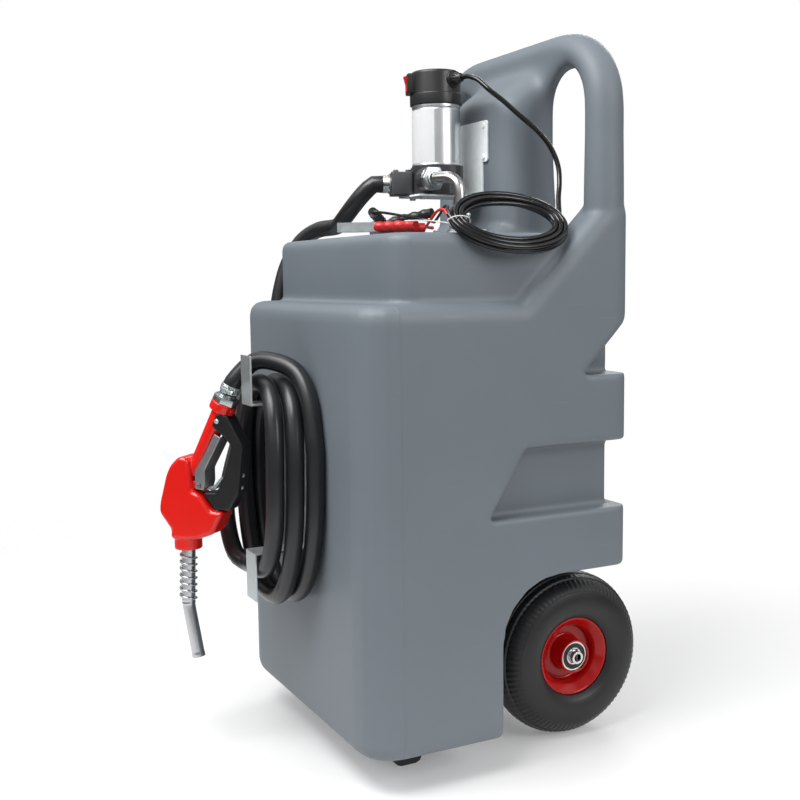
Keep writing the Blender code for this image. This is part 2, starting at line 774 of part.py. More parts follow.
def build_axle(materials):
    end = WHEEL_X + HUB_HALF_LENGTH + AXLE_OVERHANG
    keel = KEEL_WIDTH / 2 + GAP
    collar = WHEEL_X - HUB_HALF_LENGTH + BEARING_FACE - GAP
    profile = [(AXLE_BORE_RADIUS, -end), (AXLE_RADIUS, -end),
               (AXLE_RADIUS, -collar), (COLLAR_RADIUS, -collar),
               (COLLAR_RADIUS, -keel), (AXLE_RADIUS, -keel),
               (AXLE_RADIUS, keel), (COLLAR_RADIUS, keel),
               (COLLAR_RADIUS, collar), (AXLE_RADIUS, collar),
               (AXLE_RADIUS, end), (AXLE_BORE_RADIUS, end)]
    axle = lathe("axle", profile, (0, WHEEL_Y, WHEEL_Z), X_AXIS, materials["steel"])
    for side, sign in (("right", 1), ("left", -1)):
        x = sign * (end - AXLE_OVERHANG / 2)
        for name, radius, material in (("pin_hole_" + side, PIN_RADIUS + GAP, None),
                                       ("retaining_pin_" + side, PIN_RADIUS, materials["zinc"])):
            half = PIN_LENGTH / 2 if material else AXLE_RADIUS + GAP * 4
            pin = cylinder(name, radius, (x, WHEEL_Y, WHEEL_Z - half), (x, WHEEL_Y, WHEEL_Z + half),
                           material, SMALL_SIDES)
            if material is None:
                cut(axle, pin)
        low = KEEL_BACK_Y + GAP
        outline = rectangle(sign * STRAP_X - STRAP_WIDTH / 2, sign * STRAP_X + STRAP_WIDTH / 2,
                            WHEEL_Z - STRAP_HEIGHT / 2, WHEEL_Z + STRAP_HEIGHT / 2, BOLT_RADIUS, 2)
        strap = prism("axle_strap_" + side, outline, "Y", low, low + STRAP_SHEET, materials["zinc"])
        for end_name, rise in (("top", 1), ("bottom", -1)):
            z = WHEEL_Z + rise * (STRAP_HEIGHT / 2 - BOLT_INSET)
            back = low + STRAP_SHEET
            join(strap, cylinder("strap_bolt_" + side + end_name, BOLT_RADIUS,
                                 (sign * STRAP_X, back - STRAP_SHEET / 2, z),
                                 (sign * STRAP_X, back + BOLT_HEAD, z), None, SMALL_SIDES))


def tyre_profile():
    """Half round sidewalls, square shoulders and a flat tread, seated on the rim's bowl."""
    half = TYRE_WIDTH / 2
    wall = TYRE_RADIUS - TYRE_BEAD_RADIUS
    lip = RIM_HALF_WIDTH
    right = [(RIM_BOWL_RADIUS + 2 * GAP, lip / 2 - GAP), (RIM_LIP_RADIUS + GAP, lip - RIM_SHEET - GAP),
             (RIM_LIP_RADIUS + GAP, half * 0.82), (TYRE_BEAD_RADIUS + wall / 5, half * 0.96),
             (TYRE_BEAD_RADIUS + wall / 2, half), (TYRE_RADIUS - wall / 4, half * 0.95),
             (TYRE_RADIUS - wall / 9, half * 0.78), (TYRE_RADIUS - wall / 40, half / 2),
             (TYRE_RADIUS, half / 5)]
    left = [(radius, -x) for radius, x in reversed(right)]
    return [(radius, x) for radius, x in reversed(right + left)]


def build_wheel(side, sign, materials):
    centre = Vector((sign * WHEEL_X, WHEEL_Y, WHEEL_Z))
    axis = X_AXIS * sign
    profile = tyre_profile()
    lugs = {index for index, (radius, x) in enumerate(profile)
            if abs(x) > TYRE_WIDTH / 5 and radius > TYRE_RADIUS - TYRE_WIDTH / 6}

    def lugged(index, side_index, radius):
        return radius - LUG_HEIGHT if index in lugs and side_index % 2 else radius

    lathe("tyre_" + side, profile, centre, axis, materials["rubber"], 2 * LUG_COUNT, centre, lugged)
    sheet = RIM_SHEET
    hub = BEARING_RADIUS + GAP
    face = HUB_HALF_LENGTH
    lip = RIM_HALF_WIDTH
    web = GAP / 2
    floor = face - BEARING_WIDTH - BEARING_FACE - GAP * 2
    for name, way in (("rim_outer_", 1), ("rim_inner_", -1)):
        half = [(hub, floor), (hub, face), (hub + sheet, face), (hub + sheet, web + sheet),
                (RIM_BOWL_RADIUS - sheet, web + sheet), (RIM_BOWL_RADIUS - sheet, lip * 0.55),
                (RIM_LIP_RADIUS - sheet, lip), (RIM_LIP_RADIUS, lip),
                (RIM_LIP_RADIUS, lip - sheet), (RIM_BOWL_RADIUS, lip * 0.50),
                (RIM_BOWL_RADIUS, web), (hub, web), (hub, floor - sheet),
                (hub - sheet, floor - sheet), (hub - sheet, floor)]
        lathe(name + side, half, centre, axis * way, materials["red_paint"], FINE_SIDES, centre)
    inner = AXLE_RADIUS + GAP
    for name, way in (("bearing_outer_", 1), ("bearing_inner_", -1)):
        front = face - BEARING_FACE
        back = front - BEARING_WIDTH
        race = BEARING_RADIUS - RIM_SHEET
        cone = COLLAR_RADIUS - SEAL_DEPTH
        ring = ((inner, back), (BEARING_RADIUS, back), (BEARING_RADIUS, front), (race, front),
                (race, front - SEAL_DEPTH), (cone, front - SEAL_DEPTH), (cone, front),
                (inner, front))
        lathe(name + side, ring, centre, axis * way, materials["steel"], ROUND_SIDES, centre)
    half = face - BEARING_FACE - BEARING_WIDTH - GAP
    lathe("hub_sleeve_" + side, ring_profile(inner, SLEEVE_RADIUS, -half, half), centre, axis,
          materials["steel"], ROUND_SIDES, centre)


def build_bracket(materials):
    back = PILLAR_FRONT_Y - GAP
    front = back - BRACKET_SHEET
    plate_half = BRACKET_PLATE_WIDTH / 2
    neck_half = BRACKET_NECK_WIDTH / 2
    low, high = BRACKET_PLATE_Z
    shelf_low = SHELF_TOP_Z - BRACKET_SHEET
    corners = ((-neck_half, shelf_low, 0), (neck_half, shelf_low, 0),
               (neck_half, low, 0), (plate_half, low, BOLT_RADIUS),
               (plate_half, high, BOLT_RADIUS), (-plate_half, high, BOLT_RADIUS),
               (-plate_half, low, BOLT_RADIUS), (-neck_half, low, 0))
    bracket = prism("pump_bracket", rounded_outline(corners, 2), "Y", front, back, materials["zinc"])
    shelf = rectangle(-SHELF_WIDTH / 2, SHELF_WIDTH / 2, SHELF_FRONT_Y, back - BRACKET_SHEET / 2)
    join(bracket, prism("bracket_shelf", shelf, "Z", shelf_low, SHELF_TOP_Z))
    screws = [(x, z) for x in (-plate_half + BOLT_INSET, plate_half - BOLT_INSET)
              for z in (low + BOLT_RADIUS * 1.6, high - BOLT_RADIUS * 1.6)]
    for index, (x, z) in enumerate(screws):
        join(bracket, cylinder("bracket_screw_%d" % index, BOLT_RADIUS * 0.8,
                               (x, front + BRACKET_SHEET / 2, z),
                               (x, front - BOLT_HEAD * 0.6, z), None, SMALL_SIDES))
    for index, x in enumerate((-SHELF_WIDTH / 4, SHELF_WIDTH / 4)):
        join(bracket, cylinder("shelf_bolt_%d" % index, BOLT_RADIUS,
                               (x, INLET_Y, shelf_low + BRACKET_SHEET / 2),
                               (x, INLET_Y, shelf_low - BOLT_HEAD), None, 6))


def turned(thing, angle):
    """Turn a part that is drawn at the front of the pump about the pump's upright axis."""
    turn = Matrix.Rotation(angle, 4, "Z")
    axis_place = Vector((0, PUMP_Y, 0))
    thing.data.transform(turn)
    thing.location = axis_place + turn @ (thing.location - axis_place)
    return thing


def build_pump(materials):
    base = SHELF_TOP_Z + GAP
    head_top = base + HEAD_HEIGHT
    outline = rectangle(-HEAD_WIDTH / 2, HEAD_WIDTH / 2, PUMP_Y - HEAD_DEPTH / 2,
                        PUMP_Y + HEAD_DEPTH / 2, HEAD_RADIUS, 4)
    head = turned(prism("pump_head", outline, "Z", base, head_top, materials["head"]), OUTLET_TURN)
    inlet_z = base + HEAD_HEIGHT / 2
    boss_end = NUT_FACE_X - NUT_LENGTH - GAP
    boss_radius = HEAD_HEIGHT * 0.42
    join(head, cylinder("inlet_boss", boss_radius, (HEAD_WIDTH * 0.3, INLET_Y, inlet_z),
                        (boss_end, INLET_Y, inlet_z)))
    can_low = head_top + GAP
    can_high = can_low + CAN_HEIGHT
    can = ((0, can_low), (CAN_RADIUS + CAN_CRIMP, can_low),
           (CAN_RADIUS + CAN_CRIMP, can_low + CAP_STEP), (CAN_RADIUS, can_low + 2 * CAP_STEP),
           (CAN_RADIUS, can_high), (0, can_high))
    lathe("motor_can", can, (0, PUMP_Y, 0), Z_AXIS, materials["zinc"], FINE_SIDES)
    cap_low = can_high + GAP
    step_z = cap_low + CAP_LOWER_HEIGHT
    cap_top = step_z + CAP_UPPER_HEIGHT
    upper = CAP_RADIUS - CAP_STEP
    cap_profile = ((0, cap_low), (CAP_RADIUS, cap_low), (CAP_RADIUS, step_z), (upper, step_z),
                   (upper, cap_top - CAP_EDGE_RADIUS),
                   (upper - CAP_EDGE_RADIUS / 3, cap_top - CAP_EDGE_RADIUS / 3),
                   (upper - CAP_EDGE_RADIUS, cap_top), (0, cap_top))
    cap = lathe("motor_cap", cap_profile, (0, PUMP_Y, 0), Z_AXIS, materials["black"], FINE_SIDES)
    switch_z = step_z + CAP_UPPER_HEIGHT * SWITCH_Z_SHARE
    front = PUMP_Y - SWITCH_REACH
    housing = rectangle(-SWITCH_WIDTH / 2, SWITCH_WIDTH / 2, switch_z - SWITCH_HEIGHT / 2,
                        switch_z + SWITCH_HEIGHT / 2, SWITCH_RIB, 2)
    join(cap, turned(prism("switch_housing", housing, "Y", front, PUMP_Y - CAP_RADIUS / 2),
                     SWITCH_TURN))
    for index in range(3):
        y = front + SWITCH_RIB * (1.6 + 2 * index)
        rib = rectangle(-SWITCH_WIDTH / 2 - SWITCH_RIB / 2, SWITCH_WIDTH / 2 + SWITCH_RIB / 2,
                        switch_z - SWITCH_HEIGHT / 2 + SWITCH_RIB,
                        switch_z + SWITCH_HEIGHT / 2 - SWITCH_RIB)
        join(cap, turned(prism("switch_rib_%d" % index, rib, "Y", y, y + SWITCH_RIB * 0.9),
                         SWITCH_TURN))
    half_width = ROCKER_WIDTH / 2
    half_height = ROCKER_HEIGHT / 2
    well = rectangle(-half_width - GAP, half_width + GAP, switch_z - half_height - ROCKER_REACH / 4,
                     switch_z + half_height + ROCKER_REACH / 4)
    cut(cap, turned(prism("rocker_well", well, "Y", front - OVERRUN, front + ROCKER_WELL),
                    SWITCH_TURN))
    pivot = (0, front, switch_z)
    rocker = ((front - ROCKER_REACH, switch_z + half_height), (front - ROCKER_REACH / 4, switch_z),
              (front - ROCKER_REACH / 4, switch_z - half_height),
              (front + ROCKER_WELL * 0.30, switch_z - half_height),
              (front + ROCKER_WELL * 0.85, switch_z),
              (front + ROCKER_WELL * 0.30, switch_z + half_height))
    turned(prism("rocker_switch", rocker[::-1], "X", -half_width, half_width, materials["red"], 0,
                 pivot), SWITCH_TURN)
    way = Vector((math.cos(GLAND_ANGLE), math.sin(GLAND_ANGLE), 0))
    gland_z = step_z + CAP_UPPER_HEIGHT * GLAND_Z_SHARE
    seat = upper - CAP_STEP * 2
    flat = rectangle(seat, CAP_RADIUS + OVERRUN, -GLAND_FLANGE_RADIUS - GAP, GLAND_FLANGE_RADIUS + GAP)
    pocket = prism("gland_seat", flat, "Z", gland_z - GLAND_FLANGE_RADIUS - GAP,
                   gland_z + GLAND_FLANGE_RADIUS + GAP)
    pocket.location = (0, PUMP_Y, 0)
    pocket.rotation_euler = (0, 0, GLAND_ANGLE)
    cut(cap, pocket)
    start = Vector((0, PUMP_Y, gland_z)) + way * (seat + GAP)
    flange = CAP_STEP * 2.5
    gland = ((0, 0), (GLAND_FLANGE_RADIUS, 0), (GLAND_FLANGE_RADIUS, flange),
             (GLAND_NUT_RADIUS, flange), (GLAND_NUT_RADIUS, GLAND_LENGTH * 0.7),
             (LEAD_RADIUS + CAP_STEP / 2, GLAND_LENGTH), (0, GLAND_LENGTH))
    lathe("cable_gland", gland, start, way, materials["black"], SMALL_SIDES)
    outlet_back = PUMP_Y - HEAD_DEPTH / 2 - GAP
    outlet_front = outlet_back - OUTLET_DEPTH
    outlet = rectangle(-OUTLET_WIDTH / 2, OUTLET_WIDTH / 2, base, base + OUTLET_HEIGHT,
                       OUTLET_RADIUS, 2)
    turned(prism("outlet_block", outlet, "Y", outlet_front, outlet_back, materials["head"]),
           OUTLET_TURN)
    outlet_z = base + OUTLET_HEIGHT / 2
    outlet_way = Matrix.Rotation(OUTLET_TURN, 3, "Z") @ -Y_AXIS
    outlet_axis = Vector((0, PUMP_Y, outlet_z))
    barb_start = outlet_axis + outlet_way * (PUMP_Y - outlet_front + GAP)
    barb = ((0, 0), (BARB_RADIUS, 0), (BARB_RADIUS, BARB_LENGTH / 3),
            (BARB_RADIUS + BARB_RIB, BARB_LENGTH / 3), (BARB_RADIUS + BARB_RIB, BARB_LENGTH * 2 / 3),
            (BARB_RADIUS, BARB_LENGTH * 2 / 3), (BARB_RADIUS, BARB_LENGTH), (0, BARB_LENGTH))
    lathe("outlet_barb", barb, barb_start, outlet_way, materials["steel"])
    return {
        "inlet": Vector((NUT_FACE_X, INLET_Y, inlet_z)),
        "lead": start + way * (GLAND_LENGTH + GAP),
        "lead_way": way,
        "hose": barb_start + outlet_way * (BARB_LENGTH + GAP),
        "hose_way": outlet_way,
    }


def hose_clamp(name, centre, way, radius, screw_way, material):
    """A worm drive clamp: a band round the hose and its screw housing on one side."""
    inner = radius + GAP
    outer = inner + CLAMP_BAND
    half = CLAMP_WIDTH / 2
    band = lathe(name, ring_profile(inner, outer, -half, half), centre, way, material)
    across = Vector(screw_way).normalized()
    along = Vector(way).normalized().cross(across)
    middle = Vector(centre) + across * (outer + CLAMP_SCREW_RADIUS * 0.8)
    join(band, cylinder(name + "_screw", CLAMP_SCREW_RADIUS, middle - along * CLAMP_SCREW_LENGTH / 2,
                        middle + along * CLAMP_SCREW_LENGTH / 2, None, SMALL_SIDES))


def build_suction(ports, materials):
    inlet = ports["inlet"]
    corner = NUT_ACROSS / math.sqrt(3)
    outline = [(inlet.y + corner * math.cos(math.pi / 3 * i),
                inlet.z + corner * math.sin(math.pi / 3 * i)) for i in range(6)]
    prism("inlet_nut", outline, "X", inlet.x - NUT_LENGTH, inlet.x, materials["zinc"])
    elbow_start = inlet + X_AXIS * GAP
    fitting_top = DECK_Z + FLANGE_SHEET + FITTING_HEIGHT + 2 * GAP
    knee = Vector((ELBOW_X, ELBOW_Y, inlet.z))
    foot = Vector((ELBOW_X, ELBOW_Y, fitting_top + GAP))
    radius = (knee - elbow_start).length * 0.62
    back = (elbow_start - knee).normalized()
    down = (foot - knee).normalized()
    half_angle = back.angle(down) / 2
    trim = radius
    spots = [elbow_start]
    for step in range(9):
        t = step / 8
        a = knee + back * trim
        b = knee + down * trim
        spots.append(a.lerp(knee, t).lerp(knee.lerp(b, t), t))
    spots.append(foot)
    stations = []
    plane = Y_AXIS
    for i, spot in enumerate(spots):
        ahead = spots[min(i + 1, len(spots) - 1)]
        behind = spots[max(i - 1, 0)]
        stations.append((spot, ahead - behind, plane, ELBOW_RADIUS, ELBOW_RADIUS))
    stations[0] = (spots[0], X_AXIS, plane, ELBOW_RADIUS, ELBOW_RADIUS)
    stations[-1] = (spots[-1], down, plane, ELBOW_RADIUS, ELBOW_RADIUS)
    sweep("suction_elbow", stations, 16, materials["steel"])
    clamp_z = foot.z + CLAMP_WIDTH / 2 + GAP
    hose_clamp("elbow_clamp", (ELBOW_X, ELBOW_Y, clamp_z), Z_AXIS, ELBOW_RADIUS, X_AXIS,
               materials["zinc"])
    low = DECK_Z + FLANGE_SHEET + 2 * GAP
    fitting = ((0, low), (FITTING_RADIUS, low), (FITTING_RADIUS, low + FITTING_HEIGHT / 2),
               (ELBOW_RADIUS + CLAMP_BAND, low + FITTING_HEIGHT / 2),
               (ELBOW_RADIUS + CLAMP_BAND, low + FITTING_HEIGHT), (0, low + FITTING_HEIGHT))
    lathe("suction_fitting", fitting, (ELBOW_X, ELBOW_Y, 0), Z_AXIS, materials["steel"])
    half = FLANGE_SIZE / 2
    plate = rectangle(ELBOW_X - half, ELBOW_X + half, ELBOW_Y - half, ELBOW_Y + half, FLANGE_RADIUS, 3)
    base = DECK_Z + GAP
    flange = prism("suction_flange", plate, "Z", base, base + FLANGE_SHEET, materials["zinc"])
    reach = half - BOLT_INSET
    for index, (i, j) in enumerate(((1, 1), (-1, 1), (-1, -1), (1, -1))):
        x = ELBOW_X + i * reach
        y = ELBOW_Y + j * reach
        top = base + FLANGE_SHEET
        join(flange, cylinder("flange_bolt_%d" % index, BOLT_RADIUS, (x, y, top - FLANGE_SHEET / 2),
                              (x, y, top + BOLT_HEAD), None, 6))
    pipe_top = base - GAP
    route = [Vector((ELBOW_X, ELBOW_Y, pipe_top)), Vector((ELBOW_X, ELBOW_Y, SUCTION_JOG_Z[1])),
             Vector((ELBOW_X, SUCTION_FOOT_Y, SUCTION_JOG_Z[0])),
             Vector((ELBOW_X, SUCTION_FOOT_Y, SUCTION_PIPE_END_Z))]
    slant = (route[2] - route[1]).normalized()
    headings = (-Z_AXIS, slant - Z_AXIS, slant - Z_AXIS, -Z_AXIS)
    sweep("suction_pipe", [(spot, way, X_AXIS, SUCTION_PIPE_RADIUS, SUCTION_PIPE_RADIUS)
                           for spot, way in zip(route, headings)], SMALL_SIDES, materials["steel"])
    top = SUCTION_PIPE_END_Z - GAP
    low = top - STRAINER_HEIGHT
    rib = STRAINER_HEIGHT / 6
    strainer = [(0, low)]
    for index in range(3):
        z = low + 2 * rib * index
        strainer += [(STRAINER_RADIUS, z), (STRAINER_RADIUS, z + rib)]
        if index < 2:
            strainer += [(STRAINER_RADIUS * 0.88, z + rib), (STRAINER_RADIUS * 0.88, z + 2 * rib)]
    strainer += [(SUCTION_PIPE_RADIUS, top), (0, top)]
    lathe("foot_strainer", strainer, (ELBOW_X, SUCTION_FOOT_Y, 0), Z_AXIS, materials["black"],
          SMALL_SIDES)


def build_filler(materials):
    seat = DECK_Z + GAP
    top = DECK_Z + NECK_RISE
    neck = ((NECK_BORE, DECK_Z - NECK_DROP), (NECK_RADIUS, DECK_Z - NECK_DROP), (NECK_RADIUS, seat),
            (NECK_FLANGE_RADIUS, seat), (NECK_FLANGE_RADIUS, seat + NECK_FLANGE),
            (NECK_RADIUS, seat + NECK_FLANGE), (NECK_RADIUS, top), (NECK_BORE, top))
    lathe("filler_neck", neck, (FILLER_X, FILLER_Y, 0), Z_AXIS, materials["black"])
    ring_low = top + GAP
    outer = NECK_RADIUS
    lathe("cap_gasket", ring_profile(outer - GASKET_WIDTH, outer, ring_low, ring_low + GASKET_HEIGHT),
          (FILLER_X, FILLER_Y, 0), Z_AXIS, materials["rubber"])
    skirt = seat + NECK_FLANGE + GAP
    inner = NECK_RADIUS + GAP
    ceiling = ring_low + GASKET_HEIGHT + GAP
    crown = skirt + FILLER_CAP_HEIGHT
    chamfer = FILLER_CAP_WALL * 0.6
    profile = ((inner, skirt), (FILLER_CAP_RADIUS, skirt), (FILLER_CAP_RADIUS, crown - chamfer),
               (FILLER_CAP_RADIUS - chamfer, crown), (0, crown), (0, ceiling), (inner, ceiling))

    def ribbed(index, side, radius):
        return radius - FILLER_CAP_RIB_DEPTH if index in (1, 2) and side % 2 else radius

    bm = lathe_mesh_open(profile, 2 * FILLER_CAP_RIBS, ribbed)
    bmesh.ops.transform(bm, matrix=axis_matrix((FILLER_X, FILLER_Y, 0), Z_AXIS), verts=bm.verts)
    add_object("filler_cap", finish_mesh(bm, "filler_cap"), materials["black"],
               (FILLER_X, FILLER_Y, crown))


def lathe_mesh_open(profile, sides, radius_at):
    """A lathe whose profile touches the axis twice in its middle, as a cup or a cap does."""
    first = [index for index, (radius, _) in enumerate(profile) if radius == 0][0]
    turned = list(profile[first + 1:]) + list(profile[:first + 1])
    order = list(range(first + 1, len(profile))) + list(range(first + 1))

    def reach(index, side, radius):
        return radius_at(order[index], side, radius)

    return lathe_mesh(turned, sides, reach)


def flattened(wave):
    """A sine or cosine pushed outwards, which turns an ellipse into a fuller oval."""
    return math.copysign(abs(wave) ** COIL_FULLNESS_SHARE, wave)


def hose_coil_point(turn):
    """Centre of the hose in its coil: turn 0 is the top, then right, bottom and left."""
    depth = min(max(turn - 0.25, 0), 2)
    angle = 2 * math.pi * turn
    tuck = COIL_TUCK * max(math.cos(angle), 0) ** 2 if turn > 0.5 else 0.0
    y = tuck - HOSE_WALL_GAP - HOSE_RADIUS - HOSE_PITCH * depth
    across = (COIL_HALF_WIDTH - COIL_SHRINK * turn) * flattened(math.sin(angle))
    if math.cos(angle) > 0:
        rise = COIL_RISE
    else:
        rise = COIL_DROP if turn < 2 else COIL_LAST_DROP
    return Vector((across, y, COIL_CENTRE_Z + rise * flattened(math.cos(angle))))


def hose_coil_points():
    steps = round((COIL_END_TURN - COIL_START_TURN) * LOOP_POINTS)
    coil = [hose_coil_point(COIL_START_TURN + (COIL_END_TURN - COIL_START_TURN) * i / steps)
            for i in range(steps + 1)]
    return straight_ends(coil, 2 * HOSE_RADIUS)


def arm_level(points, side):
    """Height at which a cleat arm just touches the loops that it holds, from inside them."""
    level = math.inf
    reach = HOSE_RADIUS + GAP
    for first, second in zip(points, points[1:]):
        for share in (0.0, 0.25, 0.5, 0.75):
            spot = first.lerp(second, share)
            beside = max(abs(spot.x - CLEAT_X) - CLEAT_WIDTH / 2, 0)
            rise = side * (spot.z - COIL_CENTRE_Z)
            if beside < reach and rise > 0:
                level = min(level, rise - math.sqrt(reach ** 2 - beside ** 2))
    return COIL_CENTRE_Z + side * level


def straight_ends(points, length):
    """Give both ends of a wound tube a straight run of the given length."""
    first = points[0] + (points[0] - points[1]).normalized() * length
    last = points[-1] + (points[-1] - points[-2]).normalized() * length
    return [first] + points + [last]


HOSE_OVER_TOP = (
    (0.0990, -0.0140, 0.503), (0.0850, -0.0140, 0.549), (0.0570, -0.0200, 0.586),
    (0.0220, -0.0380, 0.6010), (-0.0110, -0.0620, 0.6010),
)
HOSE_TO_CORNER = (
    (-0.066, -0.0810, 0.299), (-0.098, -0.0815, 0.334), (-0.121, -0.0760, 0.376),
    (-0.134, -0.0610, 0.421),
    (-0.156, -0.0400, 0.465), (-0.190, -0.0240, 0.500), (-0.226, -0.0100, 0.520),
    (-0.252, 0.0140, 0.536), (-0.2640, 0.0440, 0.562), (-0.2645, 0.0620, 0.605),
    (-0.2645, 0.0700, 0.652), (-0.2645, 0.0790, 0.702), (-0.2620, 0.0930, 0.748),
    (-0.246, 0.1120, 0.786), (-0.214, 0.1300, 0.8050), (-0.170, 0.1400, 0.8080),
    (-0.130, 0.1330, 0.8100), (-0.094, 0.1260, 0.8180), (-0.064, 0.1280, 0.8350),
    (-0.046, 0.1380, 0.8540),
)


def build_hose(ports, nozzle_end, nozzle_way, materials):
    coil = hose_coil_points()
    tube("hose_coil", coil, HOSE_RADIUS, 1, materials["rubber"])
    print("hose coil: least gap to itself %.2f mm, length %.3f m"
          % (least_self_gap(coil, HOSE_RADIUS, HOSE_RADIUS * 6) * 1000, route_length(coil)))
    top_way = (coil[0] - coil[1]).normalized()
    top = coil[0] + top_way * GAP
    end = nozzle_end + nozzle_way * GAP
    arch = [top, top + top_way * HOSE_RADIUS]
    arch += [Vector(point) for point in HOSE_OVER_TOP]
    arch += [end + nozzle_way * HOSE_RADIUS * 1.4, end]
    tail = smooth_route(arch, HOSE_RADIUS)
    tube("hose_tail", tail, HOSE_RADIUS, 3, materials["rubber"])
    low_way = (coil[-1] - coil[-2]).normalized()
    low = coil[-1] + low_way * GAP
    outlet = ports["hose"]
    route = [low, low + low_way * HOSE_RADIUS]
    route += [Vector(point) for point in HOSE_TO_CORNER]
    route += [outlet + ports["hose_way"] * HOSE_RADIUS, outlet]
    supply = smooth_route(route, HOSE_RADIUS * 2)
    tube("hose_supply", supply, HOSE_RADIUS, 2, materials["rubber"])
    total = route_length(coil) + route_length(tail) + route_length(supply)
    print("delivery hose: length %.3f m" % total)


def build_cleat(materials):
    """One bent strip: back plate, two arms that stick out, and a lip at the end of each."""
    coil = hose_coil_points()
    top_arm = arm_level(coil, 1)
    low_arm = arm_level(coil, -1)
    print("cleat arms at %.4f and %.4f m" % (low_arm, top_arm))
    sheet = CLEAT_SHEET
    back = -GAP
    lip = CLEAT_LIP_Y
    outline = ((back, low_arm), (back, top_arm), (lip, top_arm), (lip, top_arm + CLEAT_LIP_RISE),
               (lip - sheet, top_arm + CLEAT_LIP_RISE), (lip - sheet, top_arm - sheet),
               (back - sheet, top_arm - sheet), (back - sheet, low_arm + sheet),
               (lip - sheet, low_arm + sheet), (lip - sheet, low_arm - CLEAT_LIP_RISE),
               (lip, low_arm - CLEAT_LIP_RISE), (lip, low_arm))
    cleat = prism("hose_cleat", outline, "X", CLEAT_X - CLEAT_WIDTH / 2, CLEAT_X + CLEAT_WIDTH / 2,
                  materials["zinc"])
    for index, share in enumerate((0.25, 0.75)):
        z = low_arm + (top_arm - low_arm) * share
        join(cleat, cylinder("cleat_screw_%d" % index, BOLT_RADIUS,
                             (CLEAT_X, back - sheet / 2, z),
                             (CLEAT_X, back - sheet - BOLT_HEAD, z), None, SMALL_SIDES))


BODY_OUTLINE = (
    (-0.0105, 0.3440), (-0.0125, 0.3300), (0.0290, 0.3300), (0.0605, 0.3410), (0.0780, 0.3750),
    (0.0570, 0.3770), (0.0390, 0.4010), (0.0270, 0.4060), (0.0250, 0.4360), (0.0210, 0.4560),
    (0.0065, 0.4590), (-0.0085, 0.4450), (-0.0165, 0.4300), (-0.0290, 0.3850), (-0.0300, 0.3700),
)
GUARD_OUTLINE = (
    (0.0620, 0.3775), (0.0860, 0.3775), (0.1030, 0.4050), (0.1120, 0.4760), (0.0840, 0.5260),
    (0.0680, 0.5230), (0.0600, 0.5060), (0.0700, 0.4970), (0.0810, 0.4890), (0.0920, 0.4760),
    (0.0770, 0.4260), (0.0640, 0.4040), (0.0440, 0.4040), (0.0440, 0.4000),
)
LEVER_OUTLINE = (
    (0.0310, 0.4090), (0.0450, 0.4070), (0.0485, 0.4180), (0.0485, 0.4380), (0.0770, 0.4890),
    (0.0660, 0.4950), (0.0490, 0.4640), (0.0310, 0.4360),
)
LATCH_OUTLINE = (
    (0.0455, 0.4074), (0.0530, 0.4055), (0.0590, 0.4080), (0.0725, 0.4255), (0.0700, 0.4280),
    (0.0565, 0.4130), (0.0467, 0.4112),
)


def in_nozzle_plane(point, across=0.0):
    """World place of a point (u, z) of the nozzle's drawing, across its thickness."""
    turn = Matrix.Rotation(NOZZLE_TURN, 3, "Z")
    return Vector((NOZZLE_X, NOZZLE_Y, 0)) + turn @ Vector((point[0], across, point[1]))


def nozzle_prism(name, outline, thickness, material=None, bevel=0.0, pivot=None):
    bm = prism_mesh(outline, "Y", -thickness / 2, thickness / 2)
    bmesh.ops.recalc_face_normals(bm, faces=bm.faces)
    if bevel:
        bmesh.ops.bevel(bm, geom=list(bm.edges), offset=bevel, segments=1, profile=0.5,
                        affect="EDGES")
    matrix = Matrix.Translation((NOZZLE_X, NOZZLE_Y, 0)) @ Matrix.Rotation(NOZZLE_TURN, 4, "Z")
    bmesh.ops.transform(bm, matrix=matrix, verts=bm.verts)
    place = in_nozzle_plane(pivot) if pivot else (0, 0, 0)
    return add_object(name, finish_mesh(bm, name), material, place)


